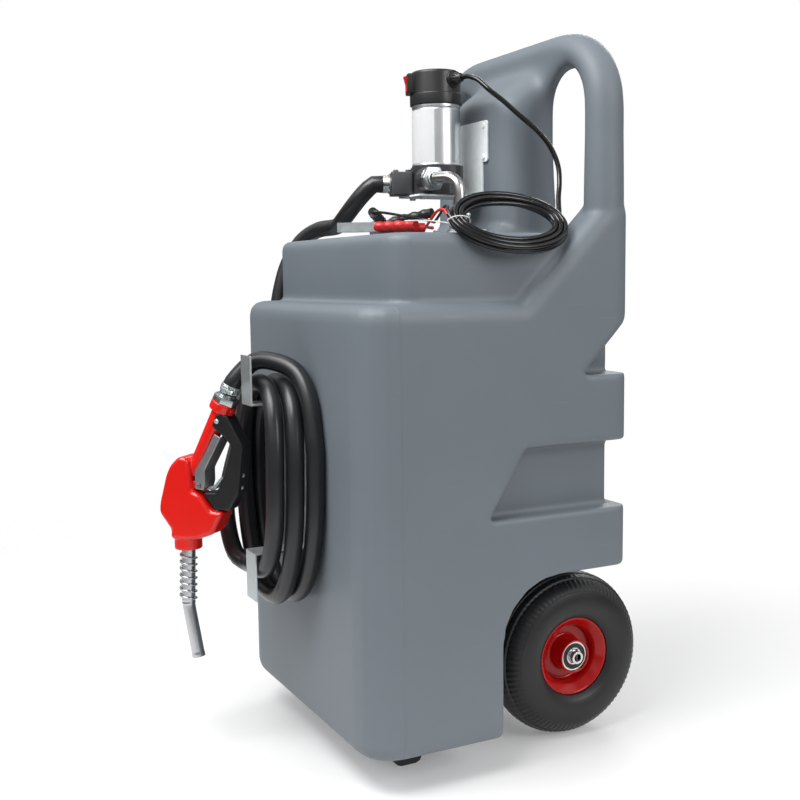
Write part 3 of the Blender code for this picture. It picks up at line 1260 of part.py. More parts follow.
def build_nozzle(materials):
    top = in_nozzle_plane(GRIP_TOP)
    foot = in_nozzle_plane(GRIP_FOOT)
    way = (top - foot).normalized()
    body = nozzle_prism("nozzle_body", BODY_OUTLINE, BODY_THICKNESS, materials["red"], BODY_EDGE)
    join(body, cylinder("nozzle_grip", GRIP_RADIUS, foot, top - way * (GRIP_BOSS_LENGTH / 2)))
    join(body, cylinder("grip_boss", GRIP_BOSS_RADIUS, top - way * GRIP_BOSS_LENGTH, top))
    collar_low = in_nozzle_plane((SPOUT_AXIS, SPOUT_COLLAR_Z[0]))
    collar_high = in_nozzle_plane((SPOUT_AXIS, SPOUT_COLLAR_Z[1]))
    join(body, cylinder("spout_collar", SPOUT_COLLAR_RADIUS, collar_low, collar_high))
    lug = rectangle(LEVER_PIVOT[0] - LUG_WIDTH / 2, LEVER_PIVOT[0] + LEVER_PIN_RADIUS * 1.4,
                    LEVER_PIVOT[1] - LEVER_PIN_RADIUS * 2, LEVER_PIVOT[1] + LEVER_PIN_RADIUS * 2)
    join(body, nozzle_prism("lever_lug", lug, LUG_WIDTH))
    half_pin = in_nozzle_plane(LEVER_PIVOT, LEVER_PIN_LENGTH / 2)
    other_pin = in_nozzle_plane(LEVER_PIVOT, -LEVER_PIN_LENGTH / 2)
    pin_hole = cylinder("pin_hole_lever", LEVER_PIN_RADIUS + GAP, half_pin, other_pin, None,
                        SMALL_SIDES)
    cut(body, pin_hole)
    cylinder("lever_pin", LEVER_PIN_RADIUS, half_pin, other_pin, materials["steel"], SMALL_SIDES)

    guard = nozzle_prism("nozzle_guard", GUARD_OUTLINE, GUARD_THICKNESS, materials["black"],
                         GUARD_EDGE)
    cut(guard, nozzle_prism("guard_body_gap", grown_outline(BODY_OUTLINE, GAP),
                            BODY_THICKNESS + GAP))
    cut(guard, cylinder("guard_grip_gap", GRIP_RADIUS + GAP, foot, top + way * OVERRUN))
    cut(guard, cylinder("guard_boss_gap", GRIP_BOSS_RADIUS + GAP,
                        top - way * (GRIP_BOSS_LENGTH + GAP), top + way * OVERRUN))

    lever = nozzle_prism("nozzle_lever", LEVER_OUTLINE, LEVER_WIDTH, materials["lever"], 0,
                         LEVER_PIVOT)
    spine = [(u - LEVER_SHEET * 1.2, z) for u, z in LEVER_OUTLINE[1:5]]
    rise = (spine[-1][0] - spine[-2][0], spine[-1][1] - spine[-2][1])
    foot_point = (spine[0][0], spine[0][1] - OVERRUN / 2)
    head_point = (spine[-1][0] + rise[0], spine[-1][1] + rise[1])
    channel = [(-OVERRUN, foot_point[1]), foot_point] + spine + [head_point, (-OVERRUN, head_point[1])]
    cut(lever, nozzle_prism("lever_channel", channel, LEVER_WIDTH - 2 * LEVER_SHEET))
    cut(lever, pin_hole)

    nozzle_prism("lever_latch", LATCH_OUTLINE, LATCH_WIDTH, materials["zinc"], 0, LATCH_PIVOT)

    start = top + way * GAP
    hexagon = ADAPTER_ACROSS / math.sqrt(3)
    profile = ((0, 0), (hexagon, 0), (hexagon, ADAPTER_LENGTH), (0, ADAPTER_LENGTH))
    adapter = lathe("hose_adapter", profile, start, way, materials["zinc"], 6)
    join(adapter, cylinder("adapter_neck", ADAPTER_NECK_RADIUS, start + way * ADAPTER_LENGTH / 2,
                           start + way * (ADAPTER_LENGTH + ADAPTER_NECK_LENGTH)))
    hose_end = start + way * (ADAPTER_LENGTH + ADAPTER_NECK_LENGTH)
    screw_way = way.cross(in_nozzle_plane((0, 0), 1) - in_nozzle_plane((0, 0), 0))
    hose_clamp("nozzle_hose_clamp", hose_end + way * (CLAMP_WIDTH * 0.75), way, HOSE_RADIUS, screw_way,
               materials["zinc"])

    bend = in_nozzle_plane((SPOUT_AXIS - 0.0035, SPOUT_BEND_Z))
    tip = in_nozzle_plane(SPOUT_TIP)
    root = in_nozzle_plane((SPOUT_AXIS, SPOUT_COLLAR_Z[0])) - Z_AXIS * GAP
    across = in_nozzle_plane((0, 0), 1) - in_nozzle_plane((0, 0), 0)
    first = (bend - root).normalized()
    second = (tip - bend).normalized()
    knee = SPOUT_RADIUS
    mouth = tip - second * SPOUT_BORE_DEPTH
    stations = [(root, -Z_AXIS), (root - Z_AXIS * knee / 2, first), (bend - first * knee, first),
                (bend, first + second), (bend + second * knee, second), (tip, second)]
    rings = [(spot, heading, across, SPOUT_RADIUS, SPOUT_RADIUS) for spot, heading in stations]
    rings += [(tip, second, across, SPOUT_BORE, SPOUT_BORE),
              (mouth, second, across, SPOUT_BORE, SPOUT_BORE)]
    sweep("nozzle_spout", rings, 16, materials["steel"])
    spring_low = root.lerp(bend, (root.z - SPRING_Z[0]) / (root.z - bend.z))
    spring_high = root.lerp(bend, (root.z - SPRING_Z[1]) / (root.z - bend.z))
    coil_radius = SPOUT_RADIUS + GAP + SPRING_WIRE_RADIUS
    steps = SPRING_TURNS * SPRING_POINTS
    flat = first.cross(across).normalized()
    spring = []
    for i in range(steps + 1):
        angle = 2 * math.pi * i / SPRING_POINTS
        centre = spring_low.lerp(spring_high, i / steps)
        reach = coil_radius / math.cos(math.pi / SPRING_POINTS)
        spring.append(centre + (across * math.cos(angle) + flat * math.sin(angle)) * reach)
    tube("spout_spring", spring, SPRING_WIRE_RADIUS, 1, materials["steel"])
    print("spout spring: least gap to itself %.2f mm"
          % (least_self_gap(spring, SPRING_WIRE_RADIUS, SPRING_WIRE_RADIUS * 8) * 1000))
    return hose_end, way


def lead_coil_points():
    """Loops of the battery lead: a flat oval wound inwards, up a layer, and out again."""
    centre = Vector(LEAD_COIL_CENTRE)
    down = Vector((math.cos(LEAD_COIL_TILT), 0, -math.sin(LEAD_COIL_TILT)))
    up = Vector((math.sin(LEAD_COIL_TILT), 0, math.cos(LEAD_COIL_TILT)))
    half = LEAD_COIL_TURNS / 2
    points = []
    steps = round(LEAD_COIL_TURNS * LOOP_POINTS)
    for i in range(steps + 1):
        turn = LEAD_COIL_TURNS * i / steps
        angle = 2 * math.pi * turn
        inwards = min(turn, LEAD_COIL_TURNS - turn)
        climb = min(max((turn - half) * 2 + 0.5, 0), 1)
        shrink = LEAD_PITCH * inwards
        layer = LEAD_PITCH * (climb - 0.5)
        points.append(centre + Y_AXIS * ((LEAD_COIL_LONG - shrink) * math.cos(angle))
                      + down * ((LEAD_COIL_SHORT - shrink) * math.sin(angle)) + up * layer)
    return straight_ends(points, 2 * LEAD_RADIUS)


def clamp_frame(place, turn, tilt):
    """Where a battery clamp lies: its pin upright, its handles along turn and raised by tilt."""
    return (Matrix.Translation(Vector(place)) @ Matrix.Rotation(turn, 4, "Z")
            @ Matrix.Rotation(-tilt, 4, "Y") @ Matrix.Rotation(math.pi / 2, 4, "X"))


def clamp_prism(name, outline, low, high, matrix, material, pivot):
    bm = prism_mesh(outline, "Y", low, high)
    bmesh.ops.transform(bm, matrix=matrix, verts=bm.verts)
    return add_object(name, finish_mesh(bm, name), material, pivot)


def handle_way(sign):
    return Vector((math.cos(HANDLE_SPLAY), 0, sign * math.sin(HANDLE_SPLAY)))


def handle_root(sign):
    return Vector((JAW_DEPTH, 0, sign * JAW_DEPTH * 1.1))


def clamp_half(name, sign, matrix, material):
    """One stamped half: a toothed jaw, two ears round the pin and a sleeved handle."""
    pivot = matrix.translation
    tip = -JAW_LENGTH
    depth = sign * JAW_DEPTH
    outline = ((tip, depth * 0.15), (tip, depth * 0.9), (tip * 0.55, depth * 1.6),
               (tip * 0.12, depth * 1.45), (JAW_DEPTH * 1.6, depth * 1.5),
               (JAW_DEPTH * 1.6, depth * 1.1), (tip * 0.10, depth * 0.95),
               (tip * 0.30, depth * 0.75), (tip * 0.60, depth * 0.80), (tip * 0.86, depth * 0.45),
               (tip * 0.90, depth * 0.15))
    if sign < 0:
        outline = outline[::-1]
    half = clamp_prism(name, outline, -JAW_WIDTH / 2, JAW_WIDTH / 2, matrix, material, pivot)
    outer = JAW_WIDTH / 2 if sign > 0 else JAW_WIDTH / 2 - JAW_SHEET - GAP
    ear = rectangle(-CLAMP_PIN_RADIUS * 2, CLAMP_PIN_RADIUS * 2,
                    *sorted((-sign * CLAMP_PIN_RADIUS * 2, depth * 1.2)))
    for ear_name, low in (("_ear_a", -outer), ("_ear_b", outer - JAW_SHEET)):
        join(half, clamp_prism(name + ear_name, ear, low, low + JAW_SHEET, matrix, None, pivot))
    start = matrix @ handle_root(sign)
    way = matrix.to_3x3() @ handle_way(sign)
    end = start + way * HANDLE_LENGTH
    join(half, cylinder(name + "_sleeve", GRIP_SLEEVE_RADIUS, start, end, None, SMALL_SIDES))
    cut(half, cylinder(name + "_sleeve_bore", GRIP_SLEEVE_BORE, end - way * HANDLE_LENGTH * 0.3,
                       end + way * OVERRUN, None, SMALL_SIDES))
    return half


def battery_clamp(name, place, turn, tilt, materials):
    matrix = clamp_frame(place, turn, tilt)
    reach = Vector((0, JAW_WIDTH / 2 + JAW_SHEET, 0))
    ends = (matrix @ reach, matrix @ -reach)
    bore = cylinder(name + "_pin_bore", CLAMP_PIN_RADIUS + GAP, *ends, None, SMALL_SIDES)
    for half_name, sign in (("_lower", -1), ("_upper", 1)):
        cut(clamp_half(name + half_name, sign, matrix, materials["zinc"]), bore)
    cylinder(name + "_pin", CLAMP_PIN_RADIUS, *ends, materials["steel"], SMALL_SIDES)
    return matrix


def handle_mouth(matrix, sign):
    """Inside a sleeve's open end, where the wire comes out, and the way that it leaves."""
    way = handle_way(sign)
    start = handle_root(sign) + way * HANDLE_LENGTH * 0.72
    return matrix @ start, matrix.to_3x3() @ way


LEAD_FROM_GLAND = (
    (0.104, 0.2790, 0.9900), (0.124, 0.3180, 0.9620), (0.139, 0.3440, 0.9390),
    (0.150, 0.3600, 0.9140), (0.160, 0.3660, 0.8870), (0.168, 0.3630, 0.8610),
    (0.180, 0.3530, 0.8370),
)


CLAMPS = (
    ("red", (0.0500, 0.1080, 0.7985), math.radians(55), 0.0, -1, -1,
     ((0.1880, 0.1450, 0.8200), (0.1650, 0.1440, 0.8020), (0.1500, 0.1430, 0.7950))),
    ("black", (-0.0120, 0.1600, 0.8080), math.radians(-4), math.radians(10), 1, 1,
     ((0.1850, 0.1580, 0.8220), (0.1600, 0.1600, 0.8080), (0.1200, 0.1750, 0.8030),
      (0.0900, 0.1950, 0.8080))),
)


def build_lead(ports, materials):
    coil = lead_coil_points()
    tube("lead_coil", coil, LEAD_RADIUS, 1, materials["rubber"])
    print("lead coil: least gap to itself %.2f mm, length %.3f m"
          % (least_self_gap(coil, LEAD_RADIUS, LEAD_RADIUS * 8) * 1000, route_length(coil)))
    start = ports["lead"]
    into = (coil[0] - coil[1]).normalized()
    end = coil[0] + into * GAP
    route = [start, start + ports["lead_way"] * LEAD_RADIUS * 3]
    route += [Vector(point) for point in LEAD_FROM_GLAND]
    route += [end + into * LEAD_RADIUS * 3, end]
    lead = smooth_route(route, LEAD_RADIUS * 4)
    tube("lead_run", lead, LEAD_RADIUS, 2, materials["rubber"])
    total = route_length(lead) + route_length(coil)
    tail = coil[-1]
    tail_way = (coil[-1] - coil[-2]).normalized()
    beside = tail_way.cross(Vector((1, 0, 1))).normalized()
    for colour, place, turn, tilt, sign, offset, drape in CLAMPS:
        matrix = battery_clamp(colour + "_clamp", place, turn, tilt, materials)
        mouth, mouth_way = handle_mouth(matrix, sign)
        first = tail + beside * (offset * (WIRE_RADIUS + GAP)) + tail_way * GAP
        route = [first, first + tail_way * WIRE_RADIUS * 4]
        route += [Vector(point) for point in drape]
        route += [mouth + mouth_way * HANDLE_LENGTH * 0.34, mouth]
        wire = smooth_route(route, WIRE_RADIUS * 5)
        tube(colour + "_wire", wire, WIRE_RADIUS, 2, materials["red" if colour == "red" else "rubber"])
        total += route_length(wire) / 2
    print("battery lead: length %.3f m" % total)


def centre_over_origin():
    """Move the whole caddy so that its box, without cords, stands centred over the origin."""
    bpy.context.view_layer.update()
    frame = bpy.data.objects.new("caddy_frame", None)
    bpy.context.scene.collection.objects.link(frame)
    body = bpy.data.objects["nozzle_body"]
    front = min((body.matrix_world @ vert.co).y for vert in body.data.vertices)
    back = WHEEL_Y + TYRE_RADIUS
    for thing in bpy.data.objects:
        if thing is not frame and thing.parent is None:
            thing.parent = frame
    frame.location.y = -(front + back) / 2
    print("frame shift in y: %.6f m" % frame.location.y)


def build_caddy():
    clear_scene()
    materials = make_materials()
    build_tank(materials)
    build_axle(materials)
    for side, sign in (("right", 1), ("left", -1)):
        build_wheel(side, sign, materials)
    build_bracket(materials)
    ports = build_pump(materials)
    build_suction(ports, materials)
    build_filler(materials)
    build_cleat(materials)
    hose_end, hose_way = build_nozzle(materials)
    build_hose(ports, hose_end, hose_way, materials)
    build_lead(ports, materials)
    centre_over_origin()


build_caddy()
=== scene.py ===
import math

import bmesh
import bpy
import numpy as np
from mathutils import Matrix, Vector
from mathutils.bvhtree import BVHTree


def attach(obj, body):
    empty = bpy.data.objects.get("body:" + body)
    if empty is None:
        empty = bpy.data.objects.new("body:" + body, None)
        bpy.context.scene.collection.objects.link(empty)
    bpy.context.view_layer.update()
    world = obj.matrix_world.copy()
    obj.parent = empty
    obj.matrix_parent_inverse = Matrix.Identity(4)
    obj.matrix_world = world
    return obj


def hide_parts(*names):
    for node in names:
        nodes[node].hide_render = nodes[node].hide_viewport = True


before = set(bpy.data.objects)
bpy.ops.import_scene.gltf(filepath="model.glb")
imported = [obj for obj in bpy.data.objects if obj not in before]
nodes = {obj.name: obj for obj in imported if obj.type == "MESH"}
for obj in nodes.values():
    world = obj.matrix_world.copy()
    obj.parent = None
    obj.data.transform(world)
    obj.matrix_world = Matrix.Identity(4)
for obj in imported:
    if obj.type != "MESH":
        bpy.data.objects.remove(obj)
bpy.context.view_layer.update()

# The studio: a camera a little in front of the caddy's right side, level with its deck, a plain
# pale floor that fades out, and soft lamps in front, overhead, on the right and behind.
FACE_Y = -0.162561


def at(x, y, z):
    """A point measured from the tank's front face and the ground, in the row's frame."""
    return Vector((x, y + FACE_Y, z))


camera_data = bpy.data.cameras.new("camera")
camera = bpy.data.objects.new("camera", camera_data)
bpy.context.scene.collection.objects.link(camera)
heading = math.radians(63.19)
dip = math.radians(6.308)
roll = math.radians(-0.7368)
forward = Vector((-math.sin(heading) * math.cos(dip), math.cos(heading) * math.cos(dip), -math.sin(dip)))
level = Vector((math.cos(heading), math.sin(heading), 0))
upward = level.cross(forward)
image_right = level * math.cos(roll) + upward * math.sin(roll)
image_up = upward * math.cos(roll) - level * math.sin(roll)
pose = Matrix((image_right, image_up, -forward)).transposed().to_4x4()
pose.translation = at(1.5731, -0.6190, 0.7248)
camera.matrix_world = pose
camera_data.sensor_width = 36
camera_data.lens = 50.28
camera_data.clip_end = 60
bpy.context.scene.camera = camera
bpy.context.scene.view_settings.view_transform = "Standard"


def studio_lamp(name, place, aim, size, power):
    lamp = bpy.data.lights.new(name, "AREA")
    lamp.shape = "RECTANGLE"
    lamp.size, lamp.size_y = size
    lamp.energy = power
    thing = bpy.data.objects.new(name, lamp)
    bpy.context.scene.collection.objects.link(thing)
    thing.location = place
    thing.rotation_euler = (Vector(aim) - Vector(place)).to_track_quat("-Z", "Y").to_euler()


studio_lamp("key_lamp", (-0.2, -3.4, 2.9), (0, 0, 0.5), (2.2, 1.6), 26)
studio_lamp("top_lamp", (0.35, -1.0, 2.25), (0, 0.1, 0.8), (1.5, 1.0), 46)
studio_lamp("side_lamp", (3.4, 1.6, 2.2), (0, 0, 0.6), (1.6, 2.0), 62)
studio_lamp("rear_lamp", (-2.2, 2.6, 2.6), (0, 0, 0.7), (1.8, 1.4), 50)


def node(tree, kind, inputs=(), **settings):
    """A shader node with its settings. An input takes a value, or a link from another socket."""
    made = tree.nodes.new("ShaderNode" + kind)
    for name, value in settings.items():
        setattr(made, name, value)
    for socket, value in dict(inputs).items():
        if isinstance(value, bpy.types.NodeSocket):
            tree.links.new(value, made.inputs[socket])
        else:
            made.inputs[socket].default_value = value
    return made


def calculated(tree, operation, *values):
    """What a Math node makes of its values."""
    return node(tree, "Math", enumerate(values), operation=operation).outputs[0]


def mapped(tree, source, span, result=(0.0, 1.0), curve="LINEAR"):
    """A source's span stretched over the result's, and held there outside it."""
    return node(tree, "MapRange", {"Value": source, "From Min": span[0], "From Max": span[1],
                                   "To Min": result[0], "To Max": result[1]},
                interpolation_type=curve).outputs[0]


def new_look(name, colour, roughness, metallic=0.0):
    """A material, its node tree and its Principled shader."""
    look = bpy.data.materials.new(name)
    look.use_nodes = True
    shader = look.node_tree.nodes["Principled BSDF"]
    shader.inputs["Base Color"].default_value = (*colour, 1)
    shader.inputs["Roughness"].default_value = roughness
    shader.inputs["Metallic"].default_value = metallic
    return look, look.node_tree, shader


world = bpy.data.worlds.new("studio_air")
bpy.context.scene.world = world
world.use_nodes = True
air = world.node_tree
rays = node(air, "LightPath").outputs
seen = calculated(air, "MAXIMUM", rays["Is Camera Ray"], rays["Is Transmission Ray"])
sky = node(air, "TexCoord").outputs["Generated"]
sky_height = node(air, "SeparateXYZ", {"Vector": sky}).outputs["Z"]
from_above = mapped(air, sky_height, (-0.05, 0.85), (0.20, 1.05), "SMOOTHSTEP")
patchwork = node(air, "TexNoise", {"Vector": sky, "Scale": 1.7, "Detail": 0.0}).outputs["Fac"]
cards = mapped(air, patchwork, (0.42, 0.58), (0.35, 1.25))
room = calculated(air, "MULTIPLY", from_above, cards)
strength = node(air, "Mix", {"Factor": seen, "A": room, "B": 1.0}).outputs["Result"]
air.nodes["Background"].inputs["Color"].default_value = (1, 1, 1, 1)
air.links.new(strength, air.nodes["Background"].inputs["Strength"])

FLOOR_HALF = 8
floor_mesh = bpy.data.meshes.new("studio_floor")
floor_corners = [(x * FLOOR_HALF, y * FLOOR_HALF, 0) for x, y in ((-1, -1), (1, -1), (1, 1), (-1, 1))]
floor_mesh.from_pydata(floor_corners, [], [(0, 1, 2, 3)])
floor = bpy.data.objects.new("studio_floor", floor_mesh)
bpy.context.scene.collection.objects.link(floor)
floor_look, floor_tree, floor_shader = new_look("pale_floor", (0.68, 0.68, 0.68), 0.9)
floor_shader.inputs["Emission Color"].default_value = (1, 1, 1, 1)
floor_shader.inputs["Emission Strength"].default_value = 0.20
floor_place = node(floor_tree, "TexCoord").outputs["Object"]
floor_reach = node(floor_tree, "VectorMath", {0: floor_place}, operation="LENGTH").outputs["Value"]
floor_fade = mapped(floor_tree, floor_reach, (2.2, 0.7), curve="SMOOTHSTEP")
floor_tree.links.new(floor_fade, floor_shader.inputs["Alpha"])
floor_mesh.materials.append(floor_look)

# Delivery hose: black rubber, 27 mm across. It leaves the pump's outlet, comes round the left of
# the tank, winds on the cleat and ends in the nozzle's swivel, all in one length.
HOSE_RADIUS = 0.0135
HOSE_PITCH = 0.0276
COIL_CENTRE_Z = 0.430
COIL_RISE = 0.1395
COIL_TUCK = 0.0069
COIL_DROP = 0.1825
COIL_LAST_DROP = 0.1400
COIL_HALF_WIDTH = 0.105
COIL_SHRINK = 0.009
COIL_FULLNESS = 0.82
SEAT_GAP = 0.0003
GRAIN_DEPTH = 0.0002
CURVE_STEPS = 12


def surface_group():
    """Shared finish: broad patches of colour and gloss, with a fine grain and small pits."""
    group = bpy.data.node_groups.new("cast_surface", "ShaderNodeTree")
    face = group.interface
    face.new_socket("Colour", in_out="INPUT", socket_type="NodeSocketColor")
    for name in ("Patches", "Patch Size", "Roughness", "Roughness Spread", "Grain Size", "Pits"):
        face.new_socket(name, in_out="INPUT", socket_type="NodeSocketFloat")
    face.new_socket("Colour", in_out="OUTPUT", socket_type="NodeSocketColor")
    face.new_socket("Roughness", in_out="OUTPUT", socket_type="NodeSocketFloat")
    face.new_socket("Height", in_out="OUTPUT", socket_type="NodeSocketFloat")
    given = group.nodes.new("NodeGroupInput").outputs
    made = group.nodes.new("NodeGroupOutput").inputs
    place = node(group, "TexCoord").outputs["Object"]

    def noise(size, detail):
        scale = calculated(group, "DIVIDE", 1.0, size)
        return node(group, "TexNoise", {"Vector": place, "Scale": scale, "Detail": detail}).outputs["Fac"]

    grain = noise(given["Grain Size"], 3)
    swing = calculated(group, "SUBTRACT", noise(given["Patch Size"], 5), 0.5)
    brightness = calculated(group, "MULTIPLY_ADD", swing, given["Patches"], 1.0)
    tinted = node(group, "VectorMath", {0: given["Colour"]}, operation="SCALE")
    group.links.new(brightness, tinted.inputs["Scale"])
    duller = calculated(group, "MULTIPLY", swing, given["Roughness Spread"])
    pits = calculated(group, "MULTIPLY", calculated(group, "GREATER_THAN", grain, 0.66), given["Pits"])
    group.links.new(tinted.outputs[0], made["Colour"])
    group.links.new(calculated(group, "ADD", duller, given["Roughness"]), made["Roughness"])
    group.links.new(calculated(group, "SUBTRACT", grain, pits), made["Height"])
    return group


cast_surface = surface_group()


def finished(tree, colour, roughness, patches, patch_size, spread, grain, pits):
    """The shared finish with a material's own values: its colour, gloss and height outputs."""
    return node(tree, "Group", {"Colour": (*colour, 1), "Patches": patches, "Patch Size": patch_size,
                                "Roughness": roughness, "Roughness Spread": spread,
                                "Grain Size": grain, "Pits": pits}, node_tree=cast_surface).outputs


def wired(tree, shader, colour, roughness, normal):
    """Link what varies over a surface to its Principled shader."""
    for socket, source in (("Base Color", colour), ("Roughness", roughness), ("Normal", normal)):
        tree.links.new(source, shader.inputs[socket])


def surfaced(name, colour, roughness, metallic=0.0, patches=0.1, patch_size=0.06, spread=0.1,
             grain=0.001, pits=0.2, bump=0.1):
    """A material whose colour, gloss and relief come from the shared finish."""
    look, tree, shader = new_look(name, colour, roughness, metallic)
    finish = finished(tree, colour, roughness, patches, patch_size, spread, grain, pits)
    relief = node(tree, "Bump", {"Strength": bump, "Distance": GRAIN_DEPTH, "Height": finish["Height"]})
    wired(tree, shader, finish["Colour"], finish["Roughness"], relief.outputs["Normal"])
    return look


def path_length(points):
    return sum((b - a).length for a, b in zip(points, points[1:]))


def smooth_route(route, spacing):
    """Even points along a smooth curve through a route, with both end stretches straight."""
    points = [Vector(point) for point in route]
    fine = []
    for a, b, c, d in zip(points, points[1:], points[2:], points[3:]):
        for step in range(CURVE_STEPS):
            t = step / CURVE_STEPS
            fine.append(0.5 * (2 * b + (c - a) * t + (2 * a - 5 * b + 4 * c - d) * t ** 2
                               + (3 * b - a - 3 * c + d) * t ** 3))
    fine.append(points[-2])
    length = path_length(fine)
    steps = max(2, round(length / spacing))
    even = [points[0], fine[0]]
    travelled = 0.0
    target = 1
    for first, second in zip(fine, fine[1:]):
        run = (second - first).length
        while target < steps and travelled + run >= target * length / steps:
            even.append(first.lerp(second, (target * length / steps - travelled) / run))
            target += 1
        travelled += run
    return even + [fine[-1], points[-1]]


def cord_curve(name, points, radius, look, resolution=6):
    """A round cord as a curve through its points, with closed ends."""
    curve = bpy.data.curves.new(name, "CURVE")
    curve.dimensions = "3D"
    curve.bevel_depth = radius
    curve.bevel_resolution = resolution
    curve.use_fill_caps = True
    curve.resolution_u = 1
    spline = curve.splines.new("POLY")
    spline.points.add(len(points) - 1)
    for spot, point in zip(spline.points, points):
        spot.co = (*point, 1)
    spline.use_smooth = True
    curve.materials.append(look)
    thing = bpy.data.objects.new(name, curve)
    bpy.context.scene.collection.objects.link(thing)
    return thing


def straight_ends(points, length):
    """The points with one more at each end, straight on by a length."""
    first = points[0] + (points[0] - points[1]).normalized() * length
    last = points[-1] + (points[-1] - points[-2]).normalized() * length
    return [first] + points + [last]


def fuller(wave):
    """A sine or cosine drawn out, so that the loops are ovals with flatter sides."""
    return math.copysign(abs(wave) ** COIL_FULLNESS, wave)


def hose_coil_point(turn):
    """Centre of the hose on the cleat: turn 0 is the top, then right, bottom and left."""
    depth = min(max(turn - 0.25, 0), 2)
    angle = 2 * math.pi * turn
    tuck = COIL_TUCK * max(math.cos(angle), 0) ** 2 if turn > 0.5 else 0.0
    y = tuck - SEAT_GAP - HOSE_RADIUS - HOSE_PITCH * depth
    across = (COIL_HALF_WIDTH - COIL_SHRINK * turn) * fuller(math.sin(angle))
    if math.cos(angle) > 0:
        rise = COIL_RISE
    else:
        rise = COIL_DROP if turn < 2 else COIL_LAST_DROP
    return at(across, y, COIL_CENTRE_Z + rise * fuller(math.cos(angle)))


hose_over_top = [at(*point) for point in (
    (0.0990, -0.0140, 0.503), (0.0850, -0.0140, 0.549), (0.0570, -0.0200, 0.586),
    (0.0220, -0.0380, 0.6010), (-0.0110, -0.0620, 0.6010))]
hose_to_corner = [at(*point) for point in (
    (-0.066, -0.0810, 0.299), (-0.098, -0.0815, 0.334), (-0.121, -0.0760, 0.376),
    (-0.134, -0.0610, 0.421), (-0.156, -0.0400, 0.465), (-0.190, -0.0240, 0.500),
    (-0.226, -0.0100, 0.520), (-0.252, 0.0140, 0.536), (-0.2640, 0.0440, 0.562),
    (-0.2645, 0.0620, 0.605), (-0.2645, 0.0700, 0.652), (-0.2645, 0.0790, 0.702),
    (-0.2620, 0.0930, 0.748), (-0.246, 0.1120, 0.786), (-0.214, 0.1300, 0.8050),
    (-0.170, 0.1400, 0.8080), (-0.130, 0.1330, 0.8100), (-0.094, 0.1260, 0.8180),
    (-0.064, 0.1280, 0.8350), (-0.046, 0.1380, 0.8540))]

NOZZLE_FOOT = (-0.088, -0.156)
NOZZLE_TURN = math.radians(45)
ADAPTER_LENGTH = 0.0150


def in_nozzle(u, z, across=0.0):
    """A point of the nozzle's upright plane, u along it and z above the ground."""
    turn = Matrix.Rotation(NOZZLE_TURN, 3, "Z")
    return at(*NOZZLE_FOOT, 0) + turn @ Vector((u, across, z))


grip_top = in_nozzle(0.0765, 0.5400)
grip_way = (grip_top - in_nozzle(0.0230, 0.4300)).normalized()
hose_end = grip_top + grip_way * (ADAPTER_LENGTH + SEAT_GAP)

PUMP_TURN = math.radians(-20)
HEAD_LOW = 0.8511
OUTLET_RISE = 0.018
OUTLET_REACH = 0.0738
BARB_LENGTH = 0.0120
pump_axis = at(0, 0.246, 0)
outlet_way = Matrix.Rotation(PUMP_TURN, 3, "Z") @ Vector((0, -1, 0))
outlet_middle = pump_axis + Vector((0, 0, HEAD_LOW + OUTLET_RISE))
hose_start = outlet_middle + outlet_way * (OUTLET_REACH + BARB_LENGTH + 2 * SEAT_GAP)

COIL_TURNS = 2.25
COIL_STEPS = 108
coil = [hose_coil_point(0.25 + COIL_TURNS * i / COIL_STEPS) for i in range(COIL_STEPS + 1)]
coil = straight_ends(coil, 2 * HOSE_RADIUS)
top_way = (coil[0] - coil[1]).normalized()
low_way = (coil[-1] - coil[-2]).normalized()
top = coil[0] + top_way * SEAT_GAP
low = coil[-1] + low_way * SEAT_GAP
supply = smooth_route([low, low + low_way * HOSE_RADIUS] + hose_to_corner
                      + [hose_start + outlet_way * HOSE_RADIUS, hose_start], 0.011)
tail = smooth_route([top, top + top_way * HOSE_RADIUS] + hose_over_top
                    + [hose_end + grip_way * (SEAT_GAP + HOSE_RADIUS * 1.4), hose_end + grip_way * SEAT_GAP],
                    0.009)
whole_hose = supply[::-1] + coil[::-1] + tail
hose_rubber = surfaced("hose_rubber", (0.014, 0.0145, 0.0165), 0.32, patches=0.5, patch_size=0.03,
                       spread=0.16, grain=0.0012, bump=0.12)
delivery_hose = cord_curve("delivery_hose", whole_hose, HOSE_RADIUS, hose_rubber, 10)
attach(delivery_hose, "caddy")
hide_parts("hose_coil", "hose_tail", "hose_supply")

# Battery lead: a 7.5 mm twin cable in black PVC. It droops from the gland in the motor cap, lies
# wound on the tank's shoulder and splits there into a red and a black wire.
LEAD_RADIUS = 0.00375
LEAD_PITCH = 0.0081
LEAD_TURNS = 5.5
LOOP_STEPS = 40
LOOP_HALF_LENGTH = 0.095
LOOP_HALF_WIDTH = 0.060
WIRE_RADIUS = 0.0020
loop_centre = at(0.2135, 0.245, 0.8010)
slope_down = Vector((math.sqrt(0.5), 0, -math.sqrt(0.5)))
slope_up = Vector((math.sqrt(0.5), 0, math.sqrt(0.5)))


def lead_coil_points():
    """Loops of a flat oval on the shoulder, wound inwards, up a layer, and out again."""
    points = []
    steps = round(LEAD_TURNS * LOOP_STEPS)
    for i in range(steps + 1):
        turn = LEAD_TURNS * i / steps
        angle = 2 * math.pi * turn
        shrink = LEAD_PITCH * min(turn, LEAD_TURNS - turn)
        climb = min(max((turn - LEAD_TURNS / 2) * 2 + 0.5, 0), 1)
        points.append(loop_centre + Vector((0, 1, 0)) * ((LOOP_HALF_LENGTH - shrink) * math.cos(angle))
                      + slope_down * ((LOOP_HALF_WIDTH - shrink) * math.sin(angle))
                      + slope_up * (LEAD_PITCH * (climb - 0.5)))
    return straight_ends(points, 2 * LEAD_RADIUS)


